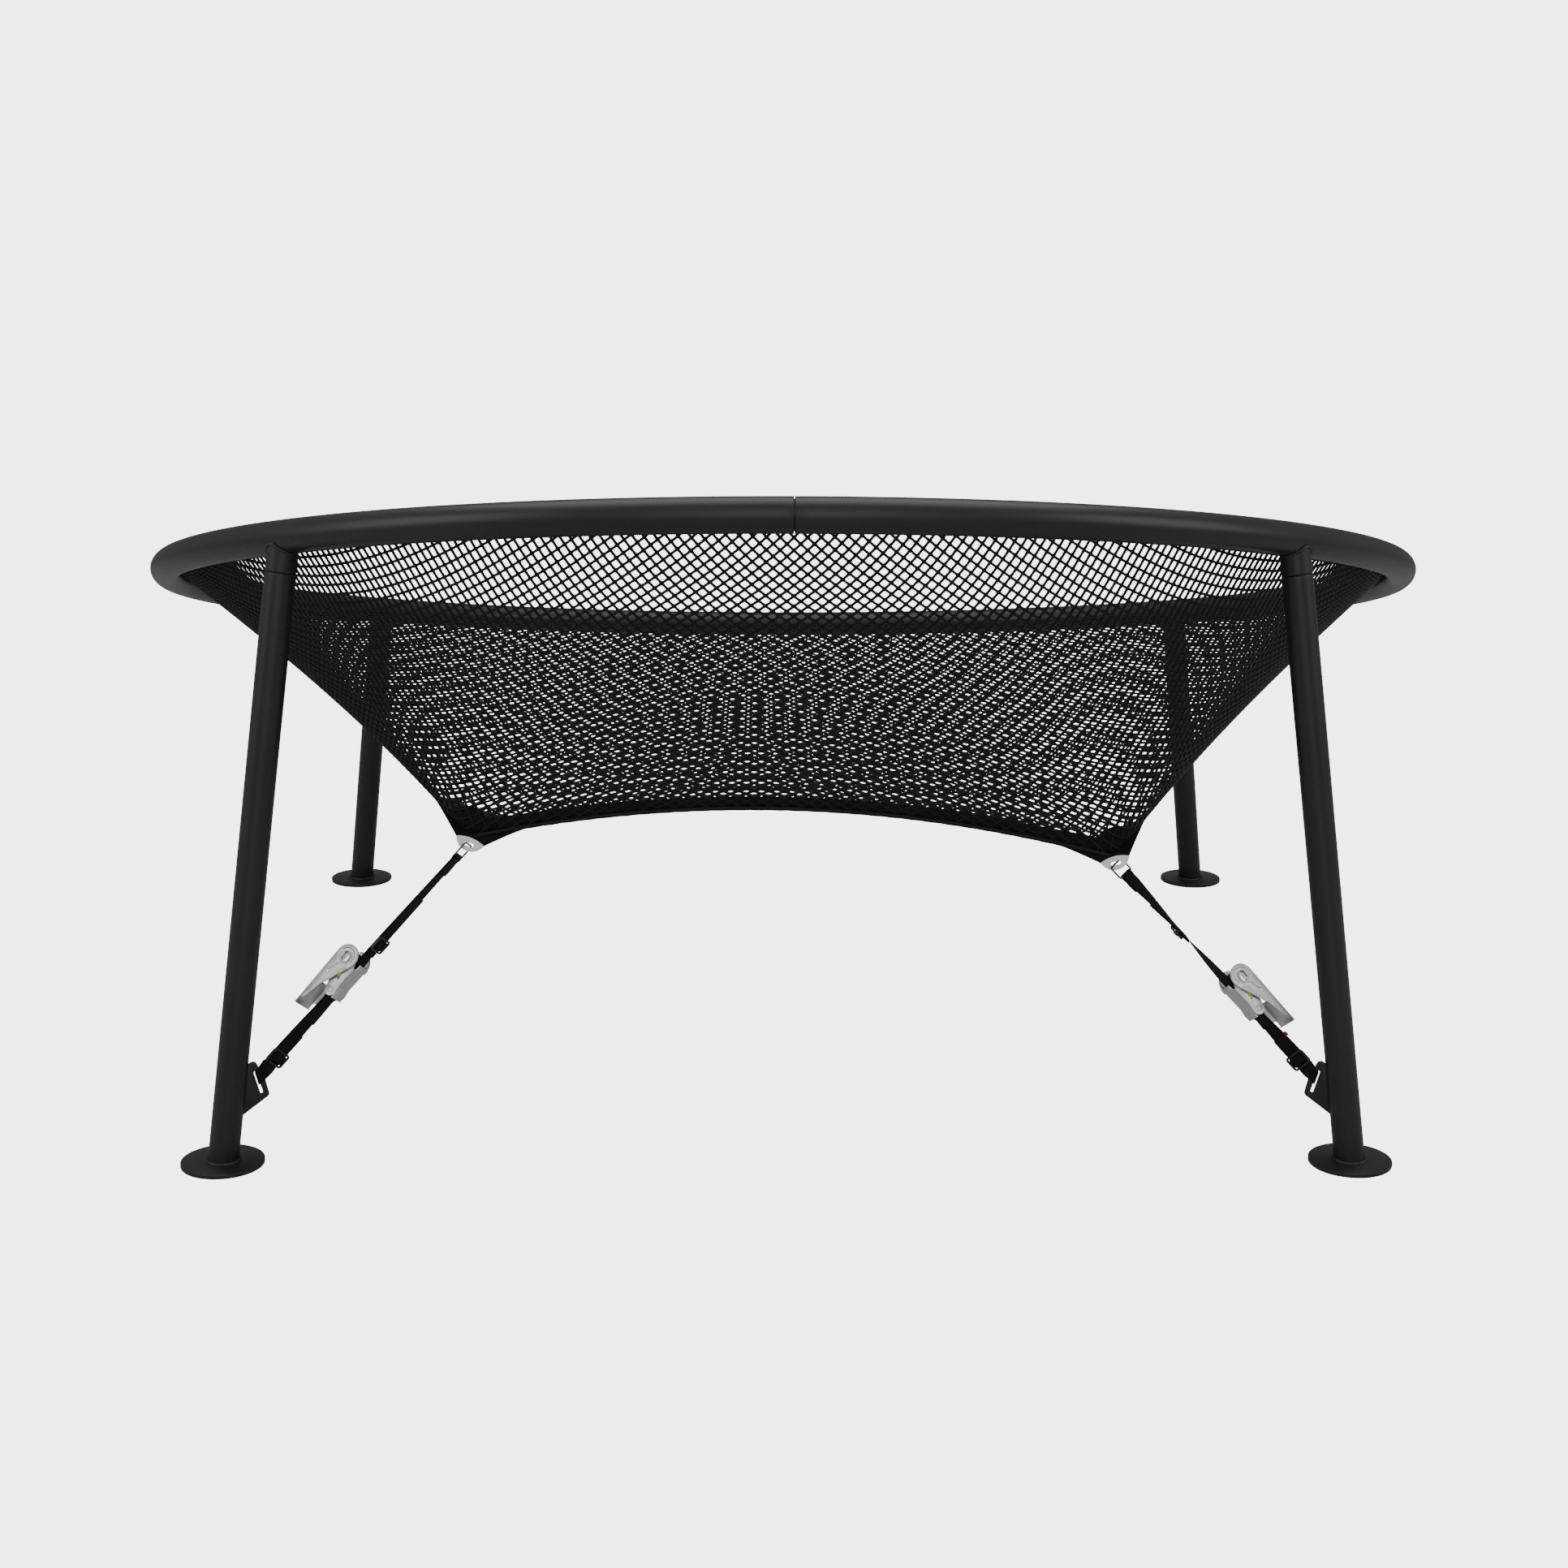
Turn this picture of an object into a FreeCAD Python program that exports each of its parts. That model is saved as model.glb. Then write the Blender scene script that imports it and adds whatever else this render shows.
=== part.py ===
import FreeCAD, Part
import math
import os

os.makedirs("parts", exist_ok=True)

V = FreeCAD.Vector

# Roundnet frame: a tilted tube ring on four splayed tube legs, with a net that two
# ratchet straps pull down to the near legs. Millimetres. +X is to the right, +Y is away
# from the near side, +Z is up. The origin is on the floor under the centre of the ring.

# Ring
RING_RADIUS = 1010.0
RING_TUBE_DIAMETER = 48.3
RING_TILT = 14.0
RING_HEIGHT = 721.0
SEAM_GAP = 1.0
RING_STRAIGHTS = 30
SPIGOT_LENGTH = 90.0
SPIGOT_DIAMETER = 41.2
SPIGOT_CLEARANCE = 0.1
SPIGOT_SEAT_DEPTH = 50.0

# Legs: where they meet the ring, and how far they lean outwards and along Y
LEG_DIAMETER = 44.0
LEG_WALL = 2.0
NEAR_LEG_ANGLE = 46.0
FAR_LEG_ANGLE = 40.0
NEAR_LEAN_OUT = 7.2
NEAR_LEAN_ALONG = 5.0
FAR_LEAN_OUT = 7.0
FAR_LEAN_ALONG = 6.3
STUB_LENGTH = 73.0
STUB_SPIGOT_LENGTH = 60.0
STUB_FIT = 0.1
FOOT_DIAMETER = 120.0
FOOT_THICKNESS = 6.0

# Anchor plates on the near legs, in the plane of the leg and the strap
ANCHOR_HEIGHT = 74.0
ANCHOR_THICKNESS = 5.0
ANCHOR_REACH = 35.0
ANCHOR_TOP_REACH = 9.0
ANCHOR_TALL = 81.0
ANCHOR_NOSE_HEIGHT = 31.0
ANCHOR_SHOULDER_REACH = 26.0
ANCHOR_SHOULDER_HEIGHT = 55.0
ANCHOR_CORNER_RADIUS = 6.0
SLOT_LENGTH = 36.0
SLOT_WIDTH = 4.0
SLOT_REACH = 16.9
SLOT_HEIGHT = 48.75
SLOT_LEAN = 23.0
STRAP_SLOT_SHIFT = 6.0

# Net: a band along the rim, then mesh that is pulled to a long keel between two corners
NET_RIM_CLEARANCE = 1.0
NET_RIM_RADIUS = RING_RADIUS - RING_TUBE_DIAMETER / 2 - NET_RIM_CLEARANCE
NET_THICKNESS = 4.0
NET_BAND_WIDTH = 23.0
NET_SIDES = 48
NET_RINGS = 4
NET_SHARPNESS = 2.6
KEEL_RISE = 54.0
KEEL_PUSH_BACK = 15.0
SAG_AT_SIDES = 0.026
SAG_NEAR = 0.028
SAG_FAR = -0.004
LEFT_CORNER = V(-464.8, -640.0, 452.2)
RIGHT_CORNER = V(479.0, -640.0, 422.3)
KEEL_TAPE_WIDTH = 9.0
KEEL_TAPE_THICKNESS = 3.0
KEEL_TAPE_SHARE = 0.96
KEEL_TAPE_DROP = 0.5
KEEL_TAPE_TOP = 0.5
KEEL_TAPE_BOTTOM = 0.7
NET_GAP = 0.3

# Lugs that carry the net's band on the inside of the ring
LUG_PITCH = 75.0
LUG_FIRST = 47.0
LUG_LENGTH = 9.0
LUG_WIDTH = 8.0
LUG_THICKNESS = 2.5

# Straps: 25 mm webbing from a leg to a corner of the net
WEBBING_WIDTH = 25.0
WEBBING_THICKNESS = 1.8
WEBBING_GAP = 0.3
SLOT_BUNCH_WIDTH = 20.0
RIB_CLEAR_AT = 14.5
LINK_BUNCH_WIDTH = 21.0
TWIST_STEPS = 5
APPROACH_STEPS = 6
SLIDER_LEAD = 12.0
SEWN_FROM_TAIL = 22.0
TAIL_BEFORE_SLIDER = 22.0
PIN_LEAD = 14.0
PIN_SHOULDER = 8.0
PIN_SHOULDER_SHARE = 0.72
PIN_WRAP_ANGLE = 260.0
RIB_NARROW_FROM = 4.0
RIB_SHOULDER = 3.2
RIB_TURN = 0.9
RIB_TURN_SHARE = 0.82
LINK_LEAD = 10.0
LINK_SHOULDER = 4.0
LINK_NARROW_FROM = 16.0
LINK_NARROW_TO = 6.0
LEFT_HOLE = V(-464.8, -648.0, 439.7)
RIGHT_HOLE = V(479.4, -648.0, 412.2)
LOWER_SLIDER_AT = {"left": 41.2, "right": 36.2}
LOWER_TAIL_AT = {"left": 86.3, "right": 78.0}
EYE_AT = {"left": 165.9, "right": 130.7}
UPPER_SLIDER_AT = {"left": 258.2, "right": 289.4}
UPPER_TAIL_AT = {"left": 347.2, "right": 345.0}
UPPER_FOLD_AT = {"left": 393.7, "right": 372.0}
BAR_AT = {"left": 428.6, "right": 401.0}
RATCHET_ROLL = {"left": 52.0, "right": 50.0}
LOWER_SLIDER_ROLL = {"left": 68.0, "right": 74.0}
BAR_ROLL = {"left": 42.0, "right": -25.0}
TAB_AT = 77.5
TAB_LENGTH = 7.0
TAB_REACH = 6.0
TAB_THICKNESS = 1.0

# Plastic sliders that hold the doubled webbing flat
SLIDER_WIDTH = 33.0
SLIDER_LENGTH = 24.0
SLIDER_THICKNESS = 3.0
SLIDER_BAR = 3.0
SLIDER_MIDDLE_BAR = 5.0
SLIDER_SIDE_CLEARANCE = 0.5
SLIDER_BAR_CLEARANCE = 0.2
SLIDER_CREST = 1.0
SLIDER_FLAT = 12.6

# Corner plates and the wire links through them
CORNER_PLATE_WIDTH = 43.0
CORNER_PLATE_THICKNESS = 5.0
CORNER_PLATE_CROWN = 4.5
CORNER_PLATE_DEPTH = 16.0
CORNER_PLATE_SLOPE = {"left": -22.0, "right": 15.0}
CORNER_PLATE_RISE = 6.0
LINK_HOLE_LENGTH = 15.0
LINK_HOLE_WIDTH = 5.5
LINK_WIRE = 3.0
LINK_WIDTH = 29.5
LINK_CORNER_RADIUS = 3.5
LINK_SIDES = 8

# Ratchet buckle
EYE_RADIUS = 9.5
EYE_PIN_DIAMETER = 8.0
HUB_ALONG = 50.0
HUB_UP = 14.0
EAR_HUB_RADIUS = 13.0
EAR_INSIDE = 13.2
SHEET = 2.0
BASE_UNDERSIDE = -7.0
BASE_START = 3.0
BASE_END = 42.0
LIP_REACH = 11.0
LIP_WIDTH = 25.0
LIP_DROP = 3.5
LIP_BEND = 0.3
SKIRT_ALONG = 0.6
SKIRT_DROP = 0.8
FOLD_NOTCH = 9.0
SPINDLE_DIAMETER = 16.0
SPINDLE_SLOT = 3.0
SPINDLE_FIT = 0.08
SPINDLE_PROUD = 0.6
WHEEL_START = 15.5
WHEEL_THICKNESS = 2.5
TOOTH_COUNT = 12
TOOTH_CREST = 16.8
TOOTH_ROOT = 13.5
TOOTH_FACE_ANGLE = -6.0
HANDLE_START = 18.3
HANDLE_HEAD_RADIUS = 18.5
HANDLE_HEAD_SIDES = 24
HANDLE_ARM_LIFT = 8.0
HANDLE_ARM_BACK = 0.55
HANDLE_ARM_DROP = 0.835
GRIP_START = 53.0
GRIP_END = 98.0
GRIP_TOP = 14.5
HANDLE_CHEEK_END = 88.0
HANDLE_LOWER_END = 84.0
HANDLE_LOWER_END_UP = 7.3
HANDLE_LOWER_START_UP = 1.8
GRIP_LIP_DROP = 3.5
SPRING_TONGUE_WIDTH = 12.0
SPRING_TONGUE_DROP = 6.5
DRIVE_ANGLE = 166.5
DRIVE_TIP = 17.05
DRIVE_CHEEK_END = 30.2
DRIVE_BRIDGE_START = 27.5
DRIVE_BRIDGE_END = 41.0
DRIVE_BRIDGE_WIDTH = 34.0
DRIVE_TRAVEL = 6.0
DRIVE_HALF_WIDTH = 21.0
DRIVE_FORK_INSIDE = 15.6
LOCK_ANGLE = 199.7
LOCK_TIP = 14.7
LOCK_END = 30.5
LOCK_TRAVEL = 5.0
LOCK_HALF_WIDTH = 18.1
PAWL_THICKNESS = 2.0
PAWL_CLEARANCE = 0.2
ROLL_RADIUS = 13.5
ROLL_GAP = 0.45
ROLL_STEPS_PER_TURN = 14
SPRING_DIAMETER = 5.0
SPRING_SIDES = 8
LOCK_SPRING_LENGTH = 6.0

# Triangles with less area than this are left out of a skin
NO_AREA = 1e-6

SIDES = ("left", "right")
CORNERS = ("near_left", "near_right", "far_left", "far_right")

tilt = math.radians(RING_TILT)
ring_centre = V(0, 0, RING_HEIGHT)
ring_u = V(1, 0, 0)
ring_v = V(0, math.cos(tilt), -math.sin(tilt))
ring_normal = V(0, math.sin(tilt), math.cos(tilt))
tube_radius = RING_TUBE_DIAMETER / 2
leg_radius = LEG_DIAMETER / 2
straight_angle = 180.0 / RING_STRAIGHTS
flatness = math.cos(math.radians(straight_angle / 2))
bend_radius = RING_RADIUS * 2 / (1 + flatness)
seam_radius = bend_radius * flatness


def unit(vector):
    """The vector at length one."""
    return vector * (1.0 / vector.Length)


def frame(origin, x_axis, y_axis, z_axis):
    """A placement whose local axes are the three given directions."""
    rows = FreeCAD.Matrix(x_axis.x, y_axis.x, z_axis.x, origin.x,
                          x_axis.y, y_axis.y, z_axis.y, origin.y,
                          x_axis.z, y_axis.z, z_axis.z, origin.z,
                          0, 0, 0, 1)
    return FreeCAD.Placement(rows)


def placed(shape, placement):
    """A copy of a shape, moved from its own frame to the object's."""
    copy = shape.copy()
    copy.Placement = placement.multiply(copy.Placement)
    return copy


def export(name, shape):
    """Write one node, and say what it holds."""
    shape.exportStep("parts/" + name + ".step")
    box = shape.BoundBox
    print("%-22s solids %2d volume %10.0f box %s" % (
        name, len(shape.Solids), shape.Volume,
        [round(value, 1) for value in (box.XMin, box.YMin, box.ZMin, box.XMax, box.YMax, box.ZMax)]))


def ring_point(angle, radius=RING_RADIUS, rise=0.0):
    """A point of the ring's plane at an angle from +X, raised along the ring's normal."""
    turn = math.radians(angle)
    flat = ring_u * (radius * math.cos(turn)) + ring_v * (radius * math.sin(turn))
    return ring_centre + flat + ring_normal * rise


def skin(sections, ring=False, backward=()):
    """A solid whose flat triangles join sections of the same number of points, open or in a ring.

    The steps named as backward have their diagonals the other way, so that two layers lie together.
    """
    faces = []
    count = len(sections[0])
    steps = len(sections) if ring else len(sections) - 1
    for i in range(steps):
        first = sections[i]
        second = sections[(i + 1) % len(sections)]
        for j in range(count):
            k = (j + 1) % count
            if (j < count / 2) != (i in backward):
                faces.append((first[j], first[k], second[k]))
                faces.append((first[j], second[k], second[j]))
            else:
                faces.append((first[j], first[k], second[j]))
                faces.append((first[k], second[k], second[j]))
    if not ring:
        start = sections[0]
        end = sections[-1]
        for j in range(1, count - 1):
            faces.append((start[0], start[j + 1], start[j]))
            faces.append((end[0], end[j], end[j + 1]))
    return solid_of(faces)


def solid_of(triangles):
    """A solid from a closed set of triangles, leaving out those that have no area."""
    origin = triangles[0][0]
    volume = sum((a - origin).dot((b - origin).cross(c - origin)) for a, b, c in triangles)
    faces = []
    for a, b, c in triangles:
        if (b - a).cross(c - a).Length > NO_AREA:
            corners = [a, b, c, a] if volume > 0 else [a, c, b, a]
            faces.append(Part.Face(Part.makePolygon(corners)))
    shell = Part.makeShell(faces)
    shell.sewShape()
    return Part.makeSolid(shell)


# Ring tubes

def leg_axis(corner):
    """Where a leg's axis meets the ring, its foot point on the floor, and its direction."""
    near = corner.startswith("near")
    side = -1 if corner.endswith("left") else 1
    angle = NEAR_LEG_ANGLE if near else FAR_LEG_ANGLE
    lean_out = NEAR_LEAN_OUT if near else FAR_LEAN_OUT
    lean_along = NEAR_LEAN_ALONG if near else FAR_LEAN_ALONG
    depth = -1 if near else 1
    turn = math.radians(angle)
    across = RING_RADIUS * math.cos(turn) * side
    top = ring_centre + ring_u * across + ring_v * (RING_RADIUS * math.sin(turn) * depth)
    foot = V(top.x + side * math.tan(math.radians(lean_out)) * top.z,
             top.y + depth * math.tan(math.radians(lean_along)) * top.z, 0)
    return top, foot, unit(top - foot)


def stub(corner):
    """A welded stub under the ring, with the spigot that its leg slips over."""
    top, foot, axis = leg_axis(corner)
    outer = Part.makeCylinder(leg_radius, STUB_LENGTH, top, axis * -1)
    spigot_length = STUB_LENGTH + STUB_SPIGOT_LENGTH
    return outer.fuse(Part.makeCylinder(leg_radius - LEG_WALL - STUB_FIT, spigot_length, top, axis * -1))


def ring_half(side):
    """Half of the ring, rolled in short straights between its two seams, with its two stubs."""
    start = 90 if side == "left" else -90
    half_gap = ring_u * (SEAM_GAP / 2 * (-1 if side == "left" else 1))
    points = [ring_point(start, seam_radius) + half_gap]
    for i in range(RING_STRAIGHTS):
        points.append(ring_point(start + straight_angle * (i + 0.5), bend_radius))
    points.append(ring_point(start + 180, seam_radius) + half_gap)
    outline = Part.Wire(Part.makeCircle(tube_radius, points[0], unit(points[1] - points[0])))
    body = Part.makePolygon(points).makePipeShell([outline], True, False, 1)
    for corner in CORNERS:
        if corner.endswith(side):
            body = body.fuse(stub(corner))
    for depth in (-1, 1):
        body = body.cut(spigot_rod(depth, SPIGOT_DIAMETER / 2 + SPIGOT_CLEARANCE, SPIGOT_SEAT_DEPTH))
    return body


def spigot_rod(depth, radius, reach):
    """A straight rod through a seam of the ring, on the axis of the tube there."""
    start = ring_point(90 * depth, seam_radius) - ring_u * reach
    return Part.makeCylinder(radius, 2 * reach, start, ring_u)


def ring_spigots():
    """The straight plugs inside the two seams of the ring."""
    plugs = [spigot_rod(depth, SPIGOT_DIAMETER / 2, SPIGOT_LENGTH / 2) for depth in (-1, 1)]
    return Part.makeCompound(plugs)


# Legs, feet and anchor plates

def leg(corner):
    """A leg tube from its stub's shoulder down to its foot plate."""
    top, foot, axis = leg_axis(corner)
    length = (top - foot).Length - STUB_LENGTH + LEG_DIAMETER
    seat = top - axis * STUB_LENGTH
    tube = Part.makeCylinder(leg_radius, length, seat, axis * -1)
    tube = tube.cut(Part.makeCylinder(leg_radius - LEG_WALL, length, seat, axis * -1))
    below = Part.makeBox(4 * LEG_DIAMETER, 4 * LEG_DIAMETER, 4 * LEG_DIAMETER,
                         V(foot.x - 2 * LEG_DIAMETER, foot.y - 2 * LEG_DIAMETER,
                           FOOT_THICKNESS - 4 * LEG_DIAMETER))
    return tube.cut(below)


def foot_plate(corner):
    """The round plate under a leg."""
    top, foot, axis = leg_axis(corner)
    return Part.makeCylinder(FOOT_DIAMETER / 2, FOOT_THICKNESS, V(foot.x, foot.y, 0))


def anchor_frame(side):
    """Origin on the leg's axis at the plate's lower end, outwards, across and up the leg."""
    top, foot, axis = leg_axis("near_" + side)
    corner = LEFT_CORNER if side == "left" else RIGHT_CORNER
    towards = corner - foot
    outwards = unit(towards - axis * towards.dot(axis))
    return foot + axis * ANCHOR_HEIGHT, outwards, axis.cross(outwards), axis


def anchor_plate(side):
    """The slotted plate on a near leg that holds the strap's lower end."""
    origin, outwards, across, axis = anchor_frame(side)
    reach = leg_radius
    points = [V(reach - ANCHOR_THICKNESS, 0, 0),
              V(reach, 0, 0),
              V(reach + ANCHOR_REACH, 0, ANCHOR_NOSE_HEIGHT),
              V(reach + ANCHOR_SHOULDER_REACH, 0, ANCHOR_SHOULDER_HEIGHT),
              V(reach + ANCHOR_TOP_REACH, 0, ANCHOR_TALL),
              V(reach, 0, ANCHOR_TALL - ANCHOR_CORNER_RADIUS),
              V(reach - ANCHOR_THICKNESS, 0, ANCHOR_TALL - ANCHOR_CORNER_RADIUS)]
    outline = Part.Face(Part.makePolygon(points + points[:1]))
    plate = outline.extrude(V(0, ANCHOR_THICKNESS, 0))
    plate.translate(V(0, -ANCHOR_THICKNESS / 2, 0))
    corners = []
    for edge in plate.Edges:
        middle = edge.CenterOfMass
        for point in (points[2], points[4]):
            if abs(middle.x - point.x) < 0.01 and abs(middle.z - point.z) < 0.01:
                corners.append(edge)
    plate = plate.makeFillet(ANCHOR_CORNER_RADIUS, corners)
    slot = rounded_bar(SLOT_LENGTH, SLOT_WIDTH, 2 * ANCHOR_THICKNESS)
    slot.rotate(V(0, 0, 0), V(0, 1, 0), -SLOT_LEAN)
    slot.translate(V(reach + SLOT_REACH, 0, SLOT_HEIGHT))
    leg_hole = Part.makeCylinder(leg_radius, 2 * ANCHOR_TALL, V(0, 0, -ANCHOR_TALL / 2))
    plate = plate.cut(slot).cut(leg_hole)
    return placed(plate, frame(origin, outwards, across, axis))


def rounded_bar(length, width, thickness):
    """An upright bar with round ends, centred on the origin: length on Z, thickness on Y."""
    half = (length - width) / 2
    radius = width / 2
    outline = Part.Wire([
        Part.makeLine(V(radius, 0, -half), V(radius, 0, half)),
        Part.Arc(V(radius, 0, half), V(0, 0, half + radius), V(-radius, 0, half)).toShape(),
        Part.makeLine(V(-radius, 0, half), V(-radius, 0, -half)),
        Part.Arc(V(-radius, 0, -half), V(0, 0, -half - radius), V(radius, 0, -half)).toShape()])
    bar = Part.Face(outline).extrude(V(0, thickness, 0))
    bar.translate(V(0, -thickness / 2, 0))
    return bar


# Net

def keel_point(share):
    """A point of the net's keel, from minus one at the left corner to one at the right."""
    along = (share + 1) / 2
    straight = LEFT_CORNER * (1 - along) + RIGHT_CORNER * along
    return straight + V(0, KEEL_PUSH_BACK, KEEL_RISE) * (1 - share * share)


def keel_share(angle):
    """Which point of the keel the net's thread from a rim angle runs to."""
    pull = math.tanh(NET_SHARPNESS * math.cos(math.radians(angle)))
    return pull / math.tanh(NET_SHARPNESS)


def net_point(angle, share):
    """A point of the net between its rim, at share nought, and its keel, at one."""
    rim = ring_point(angle, NET_RIM_RADIUS)
    keel = keel_point(keel_share(angle))
    turn = math.radians(angle)
    sag_across = SAG_NEAR if math.sin(turn) < 0 else SAG_FAR
    sag = SAG_AT_SIDES * math.cos(turn) ** 2 + sag_across * math.sin(turn) ** 2
    length = (keel - rim).Length
    curve = 4 * share * (1 - share) * (0.6 + 0.8 * share)
    return rim * (1 - share) + keel * share + ring_normal * (sag * curve * length)


def net_angles():
    """The rim angles of the net's threads, the same on both sides of the keel."""
    return [360.0 * i / NET_SIDES for i in range(NET_SIDES)]


def band_share(angle):
    """The share of a thread that the band along the rim takes."""
    return NET_BAND_WIDTH / (keel_point(keel_share(angle)) - ring_point(angle, NET_RIM_RADIUS)).Length


def net_band():
    """The woven band along the net's rim."""
    down = ring_normal * -NET_THICKNESS
    sections = []
    for angle in net_angles():
        outer = net_point(angle, 0.0)
        inner = net_point(angle, band_share(angle))
        sections.append([outer, inner, inner + down, outer + down])
    return skin(sections, ring=True)


def net_mesh():
    """The pulled net inside the band, as a shell of even thickness, cut off at its corners."""
    down = ring_normal * -NET_THICKNESS
    angles = net_angles()
    rows = []
    for angle in angles:
        first = band_share(angle)
        shares = [first + (1 - first) * (j / NET_RINGS) for j in range(NET_RINGS + 1)]
        rows.append([net_point(angle, share) for share in shares])
    triangles = []
    for i in range(NET_SIDES):
        this = rows[i]
        following = rows[(i + 1) % NET_SIDES]
        for j in range(NET_RINGS):
            upper = [(this[j], following[j], following[j + 1]), (this[j], following[j + 1], this[j + 1])]
            for a, b, c in upper:
                triangles.append((a, b, c))
                triangles.append((a + down, c + down, b + down))
        edge = (this[0], following[0])
        triangles.append((edge[0], edge[0] + down, edge[1] + down))
        triangles.append((edge[0], edge[1] + down, edge[1]))
    shell = solid_of(triangles)
    for side in SIDES:
        origin, along, across, face = corner_frame(side)
        size = 4 * CORNER_PLATE_WIDTH
        block = Part.makeBox(size, size, size, V(-size / 2, -size / 2, CORNER_PLATE_CROWN + NET_GAP - size))
        edge = origin + across * CORNER_PLATE_RISE
        shell = shell.cut(placed(block, frame(edge, along, across.cross(along), across)))
    return shell


def keel_tape():
    """The tape sewn under the net's keel."""
    sections = []
    for angle in net_angles():
        share = keel_share(angle)
        if angle > 180 or abs(share) > KEEL_TAPE_SHARE:
            continue
        top = keel_point(share) - ring_normal * (NET_THICKNESS + KEEL_TAPE_DROP)
        half = V(0, KEEL_TAPE_WIDTH / 2, 0)
        down = ring_normal * -KEEL_TAPE_THICKNESS
        upper = half * KEEL_TAPE_TOP
        lower = half * KEEL_TAPE_BOTTOM
        sections.append([top - upper, top + upper, top + lower + down, top - lower + down])
    return skin(sections)


def lugs():
    """The lugs on the inside of the ring, evenly spaced on each half between the seams."""
    half_length = math.pi * NET_RIM_RADIUS
    spaces = round((half_length - 2 * LUG_FIRST) / LUG_PITCH)
    pitch = (half_length - 2 * LUG_FIRST) / spaces
    solids = []
    for start in (-90.0, 90.0):
        for i in range(spaces + 1):
            angle = start + math.degrees((LUG_FIRST + i * pitch) / NET_RIM_RADIUS)
            solids.append(lug(angle))
    return Part.makeCompound(solids)


def tube_inside(angle, drop):
    """How far from the ring's middle its tube begins, at a drop below the ring's plane."""
    off_middle = (angle - 90 + straight_angle / 2) % straight_angle - straight_angle / 2
    return seam_radius / math.cos(math.radians(off_middle)) - math.sqrt(tube_radius ** 2 - drop ** 2)


def lug(angle):
    """One lug: a small wedge under the band that reaches out to the ring's tube."""
    drop = NET_THICKNESS + NET_GAP
    outer_end = tube_inside(angle, drop) - NET_GAP - NET_RIM_RADIUS
    rim = net_point(angle, 0.0)
    inwards = unit(net_point(angle, band_share(angle)) - rim)
    turn = math.radians(angle)
    sideways = ring_u * -math.sin(turn) + ring_v * math.cos(turn)
    sections = []
    for reach in (-outer_end, LUG_LENGTH):
        centre = rim + inwards * reach - ring_normal * drop
        half = sideways * (LUG_WIDTH / 2)
        sections.append([centre - half, centre + half, centre - ring_normal * LUG_THICKNESS])
    return skin(sections)


# Straps

def share_between(value, start, end):
    """How far a value has come from a start to an end, from nought to one."""
    return min(1.0, max(0.0, (value - start) / (end - start)))


class Strap:
    """The straight line of one strap, from its anchor slot to the hole in its corner plate."""

    def __init__(self, side):
        origin, outwards, across, axis = anchor_frame(side)
        lean = math.radians(SLOT_LEAN)
        self.slot = axis * math.cos(lean) - outwards * math.sin(lean)
        middle = origin + outwards * (leg_radius + SLOT_REACH) + axis * SLOT_HEIGHT
        self.start = middle + self.slot * STRAP_SLOT_SHIFT
        self.hole = LEFT_HOLE if side == "left" else RIGHT_HOLE
        self.along = unit(self.hole - self.start)
        level = self.along.cross(V(0, 0, 1))
        self.level = unit(level if level.y < 0 else level * -1)
        rise = V(0, 0, 1) - self.along * self.along.z
        self.rise = unit(rise)
        self.side = side

    def turned(self, roll):
        """A direction square to the strap, at a roll from level towards upwards."""
        angle = math.radians(roll)
        return self.level * math.cos(angle) + self.rise * math.sin(angle)

    def width_direction(self, distance):
        """Which way the webbing's width points at a distance from the anchor."""
        lower = LOWER_SLIDER_AT[self.side]
        upper = UPPER_SLIDER_AT[self.side]
        eye = EYE_AT[self.side]
        bar = BAR_AT[self.side]
        pin_roll = RATCHET_ROLL[self.side]
        slider_roll = LOWER_SLIDER_ROLL[self.side]
        if distance <= lower:
            part = share_between(distance, RIB_CLEAR_AT, lower - SLIDER_FLAT)
            return unit(self.slot * (1 - part) + self.turned(slider_roll) * part)
        if distance <= eye + HUB_ALONG:
            part = share_between(distance, lower + SLIDER_FLAT, eye - LIP_REACH)
            return self.turned(slider_roll * (1 - part) + pin_roll * part)
        hub_at = eye + HUB_ALONG
        at_slider = (upper - hub_at) / (bar - hub_at)
        if distance <= upper:
            part = at_slider * share_between(distance, hub_at, upper - SLIDER_FLAT)
        else:
            rest = share_between(distance, upper + SLIDER_FLAT, bar - LIP_REACH)
            part = at_slider + (1 - at_slider) * rest
        return self.turned(pin_roll * (1 - part) + BAR_ROLL[self.side] * part)

    def point(self, distance, height, sideways=0.0):
        """A point by distance from the anchor, height off the strap's face, and width."""
        across = self.width_direction(distance)
        up = self.along.cross(across)
        if up.dot(self.handle_side()) < 0:
            up = up * -1
        return self.start + self.along * distance + unit(up) * height + across * sideways

    def handle_side(self):
        """The direction from the strap towards the ratchet's handle."""
        angle = math.radians(RATCHET_ROLL[self.side])
        return self.rise * math.cos(angle) - self.level * math.sin(angle)

    def ratchet_frame(self):
        """Origin at the eye pin, X towards the corner, Y on the spindle, Z to the handle."""
        up = self.handle_side()
        return frame(self.start + self.along * EYE_AT[self.side], self.along, up.cross(self.along), up)


STRAPS = {}


def strap(side):
    """The strap line of one side, worked out once."""
    if side not in STRAPS:
        STRAPS[side] = Strap(side)
    return STRAPS[side]


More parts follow.
